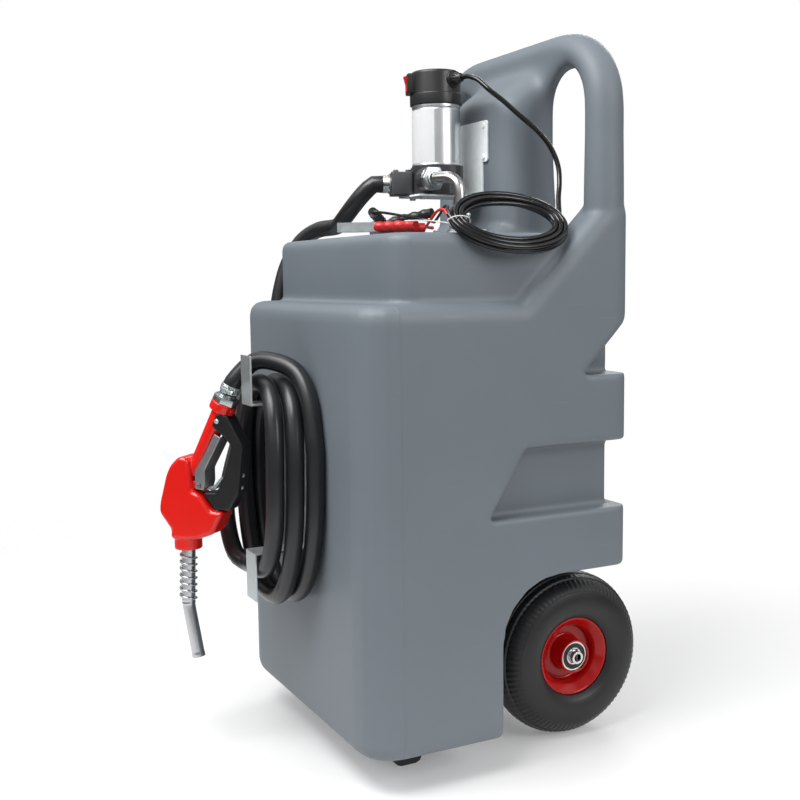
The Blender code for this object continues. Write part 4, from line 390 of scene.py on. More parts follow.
CAP_LOW = 0.9897
CAP_STEP = 1.0062
CAP_TOP = 1.0412
CAP_RADIUS = 0.041
CAP_UPPER_RADIUS = 0.039
GLAND_TURN = math.radians(16)
GLAND_HEIGHT_SHARE = 0.58
GLAND_SINK = 0.0040
GLAND_LENGTH = 0.0220
gland_way = Vector((math.cos(GLAND_TURN), math.sin(GLAND_TURN), 0))
gland_z = CAP_STEP + (CAP_TOP - CAP_STEP) * GLAND_HEIGHT_SHARE
gland_start = (pump_axis + Vector((0, 0, gland_z))
               + gland_way * (CAP_UPPER_RADIUS - GLAND_SINK + SEAT_GAP))
lead_start = gland_start + gland_way * (GLAND_LENGTH + SEAT_GAP)
lead_loops = lead_coil_points()
into = (lead_loops[0] - lead_loops[1]).normalized()
lead_join = lead_loops[0] + into * SEAT_GAP
lead_route = [lead_start, lead_start + gland_way * LEAD_RADIUS * 3]
lead_route += [at(*point) for point in (
    (0.086, 0.2715, 1.0185), (0.104, 0.2800, 1.0015), (0.115, 0.2990, 0.9840),
    (0.1245, 0.3180, 0.9650), (0.139, 0.3440, 0.9390), (0.150, 0.3600, 0.9140),
    (0.160, 0.3660, 0.8870), (0.168, 0.3630, 0.8610), (0.180, 0.3530, 0.8370))]
lead_route += [lead_join + into * LEAD_RADIUS * 3, lead_join]
whole_lead = smooth_route(lead_route, 0.006) + lead_loops
cable_sheath = surfaced("cable_sheath", (0.006, 0.006, 0.007), 0.20, patches=0.3, patch_size=0.02,
                        spread=0.1, grain=0.0008, bump=0.06)
battery_lead = cord_curve("battery_lead", whole_lead, LEAD_RADIUS, cable_sheath, 6)
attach(battery_lead, "caddy")
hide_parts("lead_coil", "lead_run")

def clamp_frame(place, turn, tilt):
    """Where a battery clamp lies: its pin upright, its handles along turn, raised by tilt."""
    return (Matrix.Translation(at(*place)) @ Matrix.Rotation(turn, 4, "Z")
            @ Matrix.Rotation(-tilt, 4, "Y") @ Matrix.Rotation(math.pi / 2, 4, "X"))


HANDLE_LENGTH = 0.072
HANDLE_SPLAY = math.radians(32)
HANDLE_ROOT = (0.0075, 0.00825)
WIRE_ENTRY_SHARE = 0.72
WIRE_RUN_IN_SHARE = 0.34


def handle_way(side):
    return Vector((math.cos(HANDLE_SPLAY), 0, side * math.sin(HANDLE_SPLAY)))


def handle_root(side):
    return Vector((HANDLE_ROOT[0], 0, side * HANDLE_ROOT[1]))

lead_end = lead_loops[-1]
lead_end_way = (lead_loops[-1] - lead_loops[-2]).normalized()
beside = lead_end_way.cross(Vector((1, 0, 1))).normalized()
clamp_frames = {
    "red": clamp_frame((0.0500, 0.1080, 0.7985), math.radians(55), 0.0),
    "black": clamp_frame((-0.0120, 0.1600, 0.8080), math.radians(-4), math.radians(10)),
}
wire_plans = (
    ("red", -1, -1, (0.55, 0.012, 0.014),
     ((0.1965, 0.1442, 0.8170), (0.1870, 0.1425, 0.8140), (0.1770, 0.1410, 0.8065),
      (0.1640, 0.1415, 0.7990), (0.1490, 0.1470, 0.7950), (0.1350, 0.1580, 0.7945),
      (0.1210, 0.1695, 0.7945), (0.1060, 0.1800, 0.7950), (0.0900, 0.1890, 0.7965),
      (0.0740, 0.1970, 0.7980), (0.0610, 0.1995, 0.7985), (0.0530, 0.1930, 0.7985))),
    ("black", 1, 1, (0.012, 0.012, 0.013),
     ((0.1950, 0.1560, 0.8215), (0.1840, 0.1575, 0.8220), (0.1720, 0.1590, 0.8160),
      (0.1580, 0.1605, 0.8080), (0.1400, 0.1660, 0.8040), (0.1200, 0.1750, 0.8030),
      (0.1010, 0.1820, 0.8050), (0.0850, 0.1780, 0.8085), (0.0760, 0.1620, 0.8120),
      (0.0720, 0.1420, 0.8155), (0.0685, 0.1230, 0.8185), (0.0620, 0.1095, 0.8203))),
)
for colour, side, offset, tint, drape in wire_plans:
    matrix = clamp_frames[colour]
    mouth = matrix @ (handle_root(side) + handle_way(side) * HANDLE_LENGTH * WIRE_ENTRY_SHARE)
    mouth_way = matrix.to_3x3() @ handle_way(side)
    first = lead_end + beside * (offset * (WIRE_RADIUS + SEAT_GAP)) + lead_end_way * SEAT_GAP
    route = [first, first + lead_end_way * WIRE_RADIUS * 4] + [at(*point) for point in drape]
    route += [mouth + mouth_way * HANDLE_LENGTH * WIRE_RUN_IN_SHARE, mouth]
    wire_path = smooth_route(route, 0.004)
    wire_look = surfaced(colour + "_wire_sheath", tint, 0.30, patches=0.2, patch_size=0.02,
                         spread=0.08, grain=0.0006, bump=0.05)
    wire = cord_curve(colour + "_lead_wire", wire_path, WIRE_RADIUS, wire_look, 5)
    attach(wire, "caddy")
    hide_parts(colour + "_wire")

# Tank: one rotomoulded shell in matte blue-grey polyethylene. The frame's solid is rebuilt as a
# fine skin and relaxed, so that every edge is as soft as moulding leaves it, and most so where
# the web and the pillar run into the handle.


def outer_skin(source):
    """The outside of a hollow solid: faces that can't see out are dropped and the holes closed."""
    bm = bmesh.new()
    bm.from_mesh(source.data)
    bmesh.ops.remove_doubles(bm, verts=bm.verts, dist=0.00001)
    bmesh.ops.triangulate(bm, faces=bm.faces)
    tree = BVHTree.FromBMesh(bm)
    draws = np.random.default_rng(5).normal(size=(40, 3))
    ways = [Vector(draw).normalized() for draw in draws]
    hidden = []
    for face in bm.faces:
        start = face.calc_center_median() + face.normal * 0.0005
        facing = [way for way in ways if way.dot(face.normal) > 0.15]
        if all(tree.ray_cast(start, way)[0] is not None for way in facing):
            hidden.append(face)
    bmesh.ops.delete(bm, geom=hidden, context="FACES")
    bmesh.ops.holes_fill(bm, edges=bm.edges, sides=0)
    bmesh.ops.recalc_face_normals(bm, faces=bm.faces)
    mesh = bpy.data.meshes.new(source.name + "_skin")
    bm.to_mesh(mesh)
    bm.free()
    return mesh


def rebuilt(mesh, voxel):
    """The same form with even small faces."""
    thing = bpy.data.objects.new("rebuilt", mesh)
    bpy.context.scene.collection.objects.link(thing)
    weld = thing.modifiers.new("weld", "WELD")
    weld.merge_threshold = 0.00001
    remesh = thing.modifiers.new("remesh", "REMESH")
    remesh.mode = "VOXEL"
    remesh.voxel_size = voxel
    shaped = bpy.data.meshes.new_from_object(thing.evaluated_get(bpy.context.evaluated_depsgraph_get()))
    bpy.data.objects.remove(thing)
    return shaped


PULL_SHARE = 0.6


def relaxed(mesh, passes, more=None):
    """Average each point with its neighbours. more(places) gives each point's share of passes."""
    count = len(mesh.vertices)
    places = np.empty(count * 3)
    mesh.vertices.foreach_get("co", places)
    places = places.reshape(-1, 3)
    edges = np.empty(len(mesh.edges) * 2, dtype=np.int64)
    mesh.edges.foreach_get("vertices", edges)
    first, second = edges.reshape(-1, 2).T
    ends = np.concatenate((first, second))
    others = np.concatenate((second, first))
    degree = np.bincount(ends, minlength=count)
    share = more(places) if more else np.ones(count)
    for index in range(passes):
        active = (share * passes > index)[:, None]
        sums = np.stack([np.bincount(ends, places[others, i], count) for i in range(3)], axis=1)
        middles = sums / degree[:, None]
        places = np.where(active, places * (1 - PULL_SHARE) + middles * PULL_SHARE, places)
    mesh.vertices.foreach_set("co", places.ravel())
    mesh.update()
    return mesh


def show(name, mesh, look, body, slot, *covers):
    """Put a finished mesh in the scene, on its body, in place of the frame's nodes."""
    mesh.materials.clear()
    mesh.materials.append(look)
    thing = bpy.data.objects.new(name, mesh)
    bpy.context.scene.collection.objects.link(thing)
    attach(thing, body)
    if covers:
        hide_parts(*covers)
    return thing


def all_smooth(mesh):
    mesh.polygons.foreach_set("use_smooth", [True] * len(mesh.polygons))
    return mesh


def smooth_shaded(mesh, angle=38):
    """Smooth faces, and a sharp edge where two of them meet at more than the angle."""
    all_smooth(mesh).set_sharp_from_angle(angle=math.radians(angle))
    return mesh


TANK_VOXEL = 0.0034
TANK_PASSES = 44
SOFT_FROM_Z = 0.84
SOFT_TO_Z = 0.93
SOFT_LEAST_SHARE = 0.09
SOFT_REST_SHARE = 0.91


def tank_softness(places):
    """All passes at the web and the handle, and few on the tank and its deck below them."""
    height = np.clip((places[:, 2] - SOFT_FROM_Z) / (SOFT_TO_Z - SOFT_FROM_Z), 0, 1)
    return SOFT_LEAST_SHARE + SOFT_REST_SHARE * height


TANK_GREY = (0.140, 0.163, 0.186)
SCUFF_GREY = (0.27, 0.30, 0.33)
MOULD_JOINT_Y = 0.053 + FACE_Y


def polyethylene():
    """Grain and cloudy patches, pale scuffs and specks, and the mould's joint down each side."""
    look, tree, shader = new_look("grey_polyethylene", TANK_GREY, 0.55)
    finish = finished(tree, TANK_GREY, 0.52, 0.16, 0.16, 0.12, 0.0011, 0.5)
    place = node(tree, "TexCoord").outputs["Object"]
    drawn = node(tree, "Mapping", {"Vector": place, "Rotation": (0.5, 0.9, 0.3), "Scale": (260, 9, 300)})
    streaks = node(tree, "TexNoise", {"Vector": drawn.outputs["Vector"], "Scale": 1.0, "Detail": 1.0})
    specks = node(tree, "TexNoise", {"Vector": place, "Scale": 330.0, "Detail": 2.0})
    worn = calculated(tree, "MAXIMUM", mapped(tree, streaks.outputs["Fac"], (0.735, 0.80), (0, 0.14)),
                      mapped(tree, specks.outputs["Fac"], (0.735, 0.79), (0, 0.40)))
    paled = node(tree, "Mix", {"Factor": worn, "A": finish["Colour"], "B": (*SCUFF_GREY, 1)},
                 data_type="RGBA")
    depth = node(tree, "SeparateXYZ", {"Vector": place}).outputs["Y"]
    away = calculated(tree, "ABSOLUTE", calculated(tree, "SUBTRACT", depth, MOULD_JOINT_Y))
    joint = mapped(tree, away, (0.0016, 0.0004))
    grain = node(tree, "Bump", {"Strength": 0.16, "Distance": 0.0003, "Height": finish["Height"]})
    raised = node(tree, "Bump", {"Strength": 0.9, "Distance": 0.0004, "Height": joint,
                                 "Normal": grain.outputs["Normal"]})
    wired(tree, shader, paled.outputs["Result"], finish["Roughness"], raised.outputs["Normal"])
    return look


tank_skin = relaxed(rebuilt(outer_skin(nodes["tank"]), TANK_VOXEL), TANK_PASSES, tank_softness)
show("tank_body", all_smooth(tank_skin), polyethylene(), "caddy", "grey_polyethylene", "tank")

# Foot: a block of black rubber fixed under the front of the tank, which keeps it upright. Its
# edges are rubbed round.
EASED_ANGLE = math.radians(32)


def dressed(name, look, width=0.0006, segments=2):
    """Give one of the frame's own solids its material, with its sharp edges eased."""
    thing = nodes[name]
    thing.data.materials.clear()
    thing.data.materials.append(look)
    weld = thing.modifiers.new("weld", "WELD")
    weld.merge_threshold = 0.00001
    ease = thing.modifiers.new("ease", "BEVEL")
    ease.width = width
    ease.segments = segments
    ease.limit_method = "ANGLE"
    ease.angle_limit = EASED_ANGLE
    ease.use_clamp_overlap = True
    ease.harden_normals = True
    return thing


rubber = surfaced("black_rubber", (0.018, 0.018, 0.019), 0.62, patches=0.5, patch_size=0.03,
                  spread=0.2, grain=0.0009, bump=0.25)
dressed("tank_foot", rubber, 0.003, 3)

# Axle: a bright tube with washers and cross pins at its ends, held to the tank's back by two
# bolted straps.
steel = surfaced("bright_steel", (0.62, 0.61, 0.60), 0.22, 1.0, patches=0.14, patch_size=0.02,
                 spread=0.16, grain=0.0007, bump=0.05)
zinc = surfaced("zinc_plate", (0.62, 0.665, 0.675), 0.38, 0.85, patches=0.30, patch_size=0.008,
                spread=0.24, grain=0.0009, bump=0.10)
WHEEL_Y = 0.385
WHEEL_Z = 0.130
WHEEL_X = 0.149
HUB_HALF = 0.034
AXLE_END = WHEEL_X + HUB_HALF + 0.007
AXLE_RADIUS = 0.0100
AXLE_BORE = 0.0060
WASHER_RADIUS = 0.0140
WASHER_OUT = 0.1177
WASHER_IN = 0.0953
CORNER_STEPS = 4


def bend(start, corner, end, steps):
    """Points of one even curve from start to end, drawn towards a corner."""
    shares = [step / steps for step in range(steps + 1)]
    return [start.lerp(corner, share).lerp(corner.lerp(end, share), share) for share in shares]


def straight(start, end, steps):
    return [start.lerp(end, step / steps) for step in range(steps + 1)]


def softened(profile, closed=False):
    """Round a profile's corners. A point is (radius, height, softness)."""
    rounded = []
    count = len(profile)
    for index, (radius, height, softness) in enumerate(profile):
        here = Vector((radius, height))
        if softness == 0 or (not closed and index in (0, count - 1)):
            rounded.append(here)
            continue
        before = Vector(profile[index - 1][:2]) - here
        after = Vector(profile[(index + 1) % count][:2]) - here
        reach = min(softness, before.length * 0.48, after.length * 0.48)
        start = here + before.normalized() * reach
        rounded += bend(start, here, here + after.normalized() * reach, CORNER_STEPS)
    return rounded


def place_along(centre, way):
    return Matrix.Translation(centre) @ Vector(way).to_track_quat("Z", "Y").to_matrix().to_4x4()


def round_point(radius, turn, height=0.0):
    return Vector((radius * math.cos(turn), radius * math.sin(turn), height))


def ring_faces(rows, sides, closed=False):
    """Faces between rings of points, each ring joined to the next."""
    faces = []
    for row in range(rows if closed else rows - 1):
        after = (row + 1) % rows
        for side in range(sides):
            beside = (side + 1) % sides
            faces.append((row * sides + side, row * sides + beside, after * sides + beside,
                          after * sides + side))
    return faces


def turned_mesh(profile, centre, way, sides=96, closed=False, shaped=None, angle=38):
    """A softened profile turned round an axis. shaped(turn, radius, height) can change a radius."""
    matrix = place_along(centre, way)
    rounded = softened(profile, closed)
    points = []
    for radius, height in rounded:
        for side in range(sides):
            turn = 2 * math.pi * side / sides
            reach = shaped(turn, radius, height) if shaped else radius
            points.append(matrix @ round_point(reach, turn, height))
    mesh = bpy.data.meshes.new("turned")
    mesh.from_pydata(points, [], ring_faces(len(rounded), sides, closed))
    bm = bmesh.new()
    bm.from_mesh(mesh)
    bmesh.ops.remove_doubles(bm, verts=bm.verts, dist=0.000002)
    bmesh.ops.recalc_face_normals(bm, faces=bm.faces)
    bm.to_mesh(mesh)
    bm.free()
    return smooth_shaded(mesh, angle)


def turned_piece(name, profile, centre, way, look, body, slot, covers=(), closed=False, sides=96,
                 shaped=None):
    mesh = turned_mesh(profile, centre, way, sides, closed, shaped)
    return show(name, mesh, look, body, slot, *covers)


axle_half = ((AXLE_BORE, AXLE_END), (AXLE_RADIUS, AXLE_END), (AXLE_RADIUS, WASHER_OUT),
             (WASHER_RADIUS, WASHER_OUT), (WASHER_RADIUS, WASHER_IN), (AXLE_RADIUS, WASHER_IN))
axle_profile = [(radius, -out, 0.0008) for radius, out in axle_half]
axle_profile += [(radius, out, 0.0008) for radius, out in axle_half[::-1]]
turned_piece("axle_tube", axle_profile, at(0, WHEEL_Y, WHEEL_Z), (1, 0, 0), steel, "caddy",
             "bright_steel", ("axle",), True, 64)
dull_steel = surfaced("dull_steel", (0.09, 0.09, 0.095), 0.45, 0.9, patches=0.3, patch_size=0.006,
                      spread=0.2, grain=0.0007, bump=0.10)
for side in ("right", "left"):
    dressed("retaining_pin_" + side, dull_steel, 0.0005)
    dressed("axle_strap_" + side, zinc, 0.0008)

# Wheels: pneumatic tyres, 260 mm across, with a lugged shoulder and ribbed sidewalls, on pressed
# rims in gloss red. Sealed bearings stand in the hubs.
tyre_rubber = surfaced("tyre_rubber", (0.0035, 0.0035, 0.0045), 0.44, patches=0.6, patch_size=0.05,
                       spread=0.20, grain=0.0011, bump=0.25)
# The rims are red paint, but their red is a darker copy of the other reds: painted shade for the shadow the
# rims lie in.
rim_red_painted_shade = surfaced("red_paint", (0.38, 0.004, 0.004), 0.18, patches=0.10, patch_size=0.03,
                     spread=0.08, grain=0.0030, pits=0.0, bump=0.03)
rim_red_painted_shade.node_tree.nodes["Principled BSDF"].inputs["Specular IOR Level"].default_value = 0.32
seal_rubber = surfaced("seal_rubber", (0.012, 0.012, 0.012), 0.5, patches=0.3, patch_size=0.01,
                       grain=0.0005, bump=0.1)
LUG_COUNT = 84
LUG_HEIGHT = 0.0010
LUG_FROM_RADIUS = 0.1064
SHOULDER_RADIUS = 0.1214
TREAD_GROOVE_HALF = 0.0030
TREAD_LUG_SHARE = 0.45
RIM_LIP = 0.0615
RIM_BOWL = 0.0475
RIM_HALF = 0.031
SHEET = 0.0025
HUB_BORE = 0.0238
HUB_DEPTH = 0.0176
RACE_BORE = 0.0103
RACE_RADIUS = 0.0235
RACE_DEPTH = 0.014
BEARING_SINK = 0.003


def sidewall(side):
    """One half of the tyre's section, from the bead to the middle of the tread."""
    points = [(RIM_BOWL + 0.0006, 0.0152, 0.001), (RIM_LIP + 0.0003, 0.0282, 0.001),
              (RIM_LIP + 0.0003, 0.0325, 0.001), (0.0650, 0.0355, 0.002), (0.0690, 0.0385, 0.004),
              (0.0760, 0.0410, 0.006), (0.0850, 0.0424, 0.008), (0.0950, 0.0420, 0.008),
              (0.1040, 0.0398, 0.006), (0.1050, 0.0388, 0.0004), (0.1062, 0.0389, 0.0004),
              (0.1120, 0.0352, 0.004), (0.1170, 0.0305, 0.003), (0.1212, 0.0250, 0.002),
              (0.1208, 0.0236, 0.0004), (0.1206, 0.0226, 0.0004), (0.1240, 0.0214, 0.0006),
              (0.1270, 0.0140, 0.003), (0.1262, 0.0130, 0.0004), (0.1262, 0.0118, 0.0004),
              (0.1286, 0.0108, 0.0006), (0.1297, 0.0035, 0.001), (0.1285, 0.0026, 0.0004),
              (0.1285, 0.0012, 0.0004)]
    return [(radius, side * out, softness) for radius, out, softness in points]


def lugs(turn, radius, out):
    """Fine ribs round each shoulder, and short cuts across the tread's bands."""
    if radius < LUG_FROM_RADIUS or abs(out) < TREAD_GROOVE_HALF:
        return radius
    wave = math.cos(LUG_COUNT * turn + (0 if out > 0 else math.pi) + out * 60)
    depth = LUG_HEIGHT if radius < SHOULDER_RADIUS else LUG_HEIGHT * TREAD_LUG_SHARE
    return radius - depth * min(max(0.5 - wave * 1.4, 0), 1)


for side, sign in (("right", 1), ("left", -1)):
    body = "wheel_" + side
    hub = at(sign * WHEEL_X, WHEEL_Y, WHEEL_Z)
    way = (sign, 0, 0)
    tyre = turned_mesh(sidewall(1) + sidewall(-1)[::-1], hub, way, LUG_COUNT * 8, True, lugs, 60)
    show("tyre_tread_" + side, tyre, tyre_rubber, body, "tyre_rubber", "tyre_" + side)
    hub_floor = HUB_HALF - HUB_DEPTH
    for name, facing in (("outer", 1), ("inner", -1)):
        rim = ((HUB_BORE, hub_floor, 0), (HUB_BORE, HUB_HALF, 0.0008),
               (HUB_BORE + SHEET, HUB_HALF, 0.0010), (HUB_BORE + SHEET, 0.00265, 0.0050),
               (RIM_BOWL - SHEET, 0.00265, 0.0060), (RIM_BOWL - SHEET, RIM_HALF * 0.55, 0.005),
               (RIM_LIP - SHEET, RIM_HALF, 0.003), (RIM_LIP, RIM_HALF, 0.001),
               (RIM_LIP, RIM_HALF - SHEET, 0.001), (RIM_BOWL, RIM_HALF * 0.5, 0.004),
               (RIM_BOWL, 0.00015, 0.002), (HUB_BORE, 0.00015, 0.001),
               (HUB_BORE, hub_floor - SHEET, 0), (HUB_BORE - SHEET, hub_floor - SHEET, 0.0005),
               (HUB_BORE - SHEET, hub_floor, 0.0005))
        turned_piece("rim_%s_pressing_%s" % (name, side), rim, hub, (sign * facing, 0, 0), rim_red_painted_shade,
                     body, "red_paint", ("rim_%s_%s" % (name, side),), True, 128)
        face = HUB_HALF - BEARING_SINK
        race = ((RACE_BORE, face - RACE_DEPTH, 0.0005), (RACE_RADIUS, face - RACE_DEPTH, 0.0005),
                (RACE_RADIUS, face, 0.0005), (0.0205, face, 0.0004), (0.0205, face - 0.0016, 0),
                (0.0134, face - 0.0016, 0), (0.0134, face, 0.0004), (RACE_BORE, face, 0.0004))
        turned_piece("bearing_%s_races_%s" % (name, side), race, hub, (sign * facing, 0, 0), steel,
                     body, "bright_steel", ("bearing_%s_%s" % (name, side),), True, 96)
        seal = ((0.0137, face - 0.0015, 0), (0.0202, face - 0.0015, 0), (0.0202, face - 0.0006, 0.0003),
                (0.0176, face - 0.0004, 0.001), (0.0160, face - 0.0008, 0.001),
                (0.0137, face - 0.0007, 0.0003))
        turned_piece("bearing_%s_seal_%s" % (name, side), seal, hub, (sign * facing, 0, 0),
                     seal_rubber, body, "black_rubber", (), True, 96)
    dressed("hub_sleeve_" + side, steel, 0.0004)

# Pump: bracket in zinc plated sheet, a cast head, a zinc plated can with a bare white label, and
# a black cap in two tiers with the switch and the cable gland.
casting = surfaced("black_casting", (0.030, 0.031, 0.033), 0.42, 0.0, patches=0.4, patch_size=0.012,
                   spread=0.2, grain=0.0007, bump=0.35)
black_plastic = surfaced("black_plastic", (0.014, 0.014, 0.015), 0.34, patches=0.3, patch_size=0.02,
                         spread=0.12, grain=0.0006, bump=0.10)
can_zinc = surfaced("can_zinc", (0.66, 0.68, 0.69), 0.33, 1.0, patches=0.10, patch_size=0.03,
                    spread=0.14, grain=0.0012, bump=0.04)
red_plastic = surfaced("red_plastic", (0.50, 0.010, 0.010), 0.30, patches=0.1, patch_size=0.02,
                       spread=0.08, grain=0.0008, bump=0.05)
label_film = surfaced("label_film", (0.64, 0.65, 0.655), 0.40, patches=0.06, patch_size=0.02,
                      spread=0.1, grain=0.0012, bump=0.03)
UP = (0, 0, 1)
CAN_LOW = 0.8954
CAN_TOP = 0.9894
CAN_RADIUS = 0.038
LABEL_LIFT = 0.0001
LABEL_THICKNESS = 0.0002


def slab_mesh(outline, low, high, matrix, soften):
    """An outline with its thickness, its edges rounded, drawn flat and placed by a matrix."""
    bm = bmesh.new()
    base = [bm.verts.new((u, v, low)) for u, v in outline]
    bm.faces.new(base)
    grown = bmesh.ops.extrude_face_region(bm, geom=list(bm.faces))
    lifted = [part for part in grown["geom"] if isinstance(part, bmesh.types.BMVert)]
    bmesh.ops.translate(bm, verts=lifted, vec=(0, 0, high - low))
    bmesh.ops.recalc_face_normals(bm, faces=bm.faces)
    sharp = [edge for edge in bm.edges if edge.calc_face_angle(0) > math.radians(38)]
    if soften:
        bmesh.ops.bevel(bm, geom=sharp, offset=soften, segments=3, profile=0.5, affect="EDGES",
                        clamp_overlap=True)
    bmesh.ops.transform(bm, matrix=matrix, verts=bm.verts)
    mesh = bpy.data.meshes.new("slab")
    bm.to_mesh(mesh)
    bm.free()
    return smooth_shaded(mesh)


def rounded_box(u_low, u_high, v_low, v_high, radius, steps=6):
    """A rectangle's outline with round corners."""
    outline = []
    for centre_u, centre_v, start in ((u_high - radius, v_high - radius, 0),
                                      (u_low + radius, v_high - radius, 90),
                                      (u_low + radius, v_low + radius, 180),
                                      (u_high - radius, v_low + radius, 270)):
        for step in range(steps + 1):
            angle = math.radians(start + 90 * step / steps)
            outline.append((centre_u + radius * math.cos(angle), centre_v + radius * math.sin(angle)))
    return outline


def joined(*meshes):
    """Several closed meshes as one, each left whole."""
    bm = bmesh.new()
    for mesh in meshes:
        bm.from_mesh(mesh)
    whole = bpy.data.meshes.new("joined")
    bm.to_mesh(whole)
    bm.free()
    return smooth_shaded(whole)


def screw_mesh(place, way, radius, height):
    """A low domed screw head with a cross recess pressed in its top."""
    profile = ((0, height * 0.62, 0), (radius * 0.10, height * 0.62, 0),
               (radius * 0.22, height, 0.0002), (radius * 0.62, height * 0.92, 0.0005),
               (radius, height * 0.35, 0.0006), (radius, 0, 0), (0, 0, 0))

    def recess(turn, reach, rise):
        if 0 < reach < radius * 0.5:
            return reach * (1.0 + 0.9 * max(math.cos(2 * (turn % math.pi) * 2), 0))
        return reach

    return turned_mesh(profile, place, way, 32, False, recess)


def hexagon(corner):
    return [(corner * math.cos(math.pi / 3 * i), corner * math.sin(math.pi / 3 * i)) for i in range(6)]


def hex_mesh(place, way, radius, height):
    """A hexagon head on a washer face, its corners taken off."""
    corner = radius * 2 / math.sqrt(3)
    nut = slab_mesh(hexagon(corner), height * 0.14, height, place_along(place, way), 0.0005)
    washer = turned_mesh(((0, 0, 0), (corner * 1.06, 0, 0.0002), (corner * 1.06, height * 0.15, 0.0003),
                          (0, height * 0.15, 0)), place, way, 48)
    return joined(nut, washer)


# The bracket gets a near-white, non-metallic copy of the zinc plating: painted light standing in for the
# bright sheen of its plate.
bracket_zinc_painted_light = surfaced("bracket_zinc_painted_light", (0.88, 0.93, 0.94), 0.45, 0.0, patches=0.20, patch_size=0.010,
                        spread=0.2, grain=0.0009, bump=0.10)
dressed("pump_bracket", bracket_zinc_painted_light, 0.0007)
dressed("pump_head", casting, 0.0022, 3)
can = ((0, CAN_LOW, 0), (CAN_RADIUS + 0.0008, CAN_LOW, 0.0008),
       (CAN_RADIUS + 0.0012, CAN_LOW + 0.0020, 0.0008),
       (CAN_RADIUS, CAN_LOW + 0.0036, 0.0010), (CAN_RADIUS, CAN_TOP - 0.0080, 0.0008),
       (CAN_RADIUS - 0.0008, CAN_TOP - 0.0070, 0.0006), (CAN_RADIUS - 0.0008, CAN_TOP - 0.0058, 0.0006),
       (CAN_RADIUS, CAN_TOP - 0.0048, 0.0008), (CAN_RADIUS, CAN_TOP, 0.0006), (0, CAN_TOP, 0))
turned_piece("motor_can_shell", can, pump_axis, UP, can_zinc, "caddy", "zinc_plate",
             ("motor_can",), False, 160)


def wrapped_label(low, high, start, end, steps=40):
    """A thin label bent round the can, from one angle in degrees to another."""
    inner = CAN_RADIUS + LABEL_LIFT
    outer = inner + LABEL_THICKNESS
    points = []
    for step in range(steps + 1):
        angle = math.radians(start + (end - start) * step / steps)
        for reach, z in ((inner, low), (inner, high), (outer, high), (outer, low)):
            points.append(pump_axis + round_point(reach, angle, z))
    faces = ring_faces(steps + 1, 4) + [(3, 2, 1, 0), tuple(steps * 4 + i for i in range(4))]
    mesh = bpy.data.meshes.new("label")
    mesh.from_pydata(points, [], faces)
    return smooth_shaded(mesh)


show("can_label", wrapped_label(0.8995, 0.9808, -152, -33), label_film, "caddy", "zinc_plate")

SWITCH_HEIGHT_SHARE = 0.46
SWITCH_HALF_WIDTH = 0.0130
SWITCH_HALF_HEIGHT = 0.0146
SWITCH_RIM = 0.0020
SWITCH_OPENING = 0.0074
HOUSING_HALF_WIDTH = 0.0150
HOUSING_HALF_HEIGHT = 0.0155
RIB_SPACING = 0.0042
CAP_SCREW_RADIUS = 0.030
BOSS_SPREAD = 0.014
cap = ((0, CAP_LOW, 0), (CAP_RADIUS, CAP_LOW, 0.0008), (CAP_RADIUS, CAP_STEP, 0.0012),
       (CAP_UPPER_RADIUS, CAP_STEP, 0.0008), (CAP_UPPER_RADIUS, CAP_TOP, 0.0045),
       (0.0300, CAP_TOP, 0.0010), (0.0285, CAP_TOP - 0.0010, 0.0010),
       (0.0100, CAP_TOP - 0.0010, 0.0010), (0, CAP_TOP - 0.0010, 0))
switch_z = CAP_STEP + (CAP_TOP - CAP_STEP) * SWITCH_HEIGHT_SHARE
pump_place = Matrix.Translation(pump_axis) @ Matrix.Rotation(PUMP_TURN, 4, "Z")
# the housing's outlines are drawn in x and z, and their thickness goes towards the front
facing = pump_place @ Matrix(((1, 0, 0, 0), (0, 0, -1, 0), (0, 1, 0, 0), (0, 0, 0, 1)))
switch_low = switch_z - SWITCH_HALF_HEIGHT
switch_high = switch_z + SWITCH_HALF_HEIGHT
housing_outline = rounded_box(-HOUSING_HALF_WIDTH, HOUSING_HALF_WIDTH, switch_z - HOUSING_HALF_HEIGHT,
                              switch_z + HOUSING_HALF_HEIGHT, 0.0025)
housing = slab_mesh(housing_outline, 0.030, 0.0455, facing, 0.0008)
switch_rim = [slab_mesh(rounded_box(*spans, 0.0006, 3), 0.0448, 0.0465, facing, 0.0004)
              for spans in ((-SWITCH_HALF_WIDTH, SWITCH_HALF_WIDTH, switch_high - SWITCH_RIM, switch_high),
                            (-SWITCH_HALF_WIDTH, SWITCH_HALF_WIDTH, switch_low, switch_low + SWITCH_RIM),
                            (-SWITCH_HALF_WIDTH, -SWITCH_OPENING, switch_low, switch_high),
                            (SWITCH_OPENING, SWITCH_HALF_WIDTH, switch_low, switch_high))]
rib_outline = rounded_box(-0.0163, 0.0163, switch_z - 0.0135, switch_z + 0.0135, 0.0010, 3)
ribs = [slab_mesh(rib_outline, 0.0310 + RIB_SPACING * index, 0.0330 + RIB_SPACING * index, facing, 0.0004)
        for index in range(3)]
cap_screws = [screw_mesh(pump_axis + round_point(CAP_SCREW_RADIUS, angle, CAP_TOP - 0.0014), UP, 0.0028,
                         0.0018) for angle in (0.9, 4.04)]
cap_mesh = turned_mesh(cap, pump_axis, UP, 160)
show("motor_cap_cover", joined(cap_mesh, housing, *switch_rim, *ribs), black_plastic, "caddy",
     "black_plastic", "motor_cap")
show("cap_screws", joined(*cap_screws), zinc, "caddy", "zinc_plate")
dressed("rocker_switch", red_plastic, 0.0008, 3)

KNURL_COUNT = 12
gland = ((0, 0, 0), (0.0135, 0, 0.0006), (0.0135, 0.0050, 0.0008), (0.0094, 0.0050, 0.0006),
         (0.0094, 0.0140, 0.0008), (0.0078, 0.0160, 0.0008), (0.0066, 0.0205, 0.0010),
         (0.0052, GLAND_LENGTH, 0.0008), (0.00385, GLAND_LENGTH, 0), (0.00385, 0.0190, 0),
         (0, 0.0190, 0))


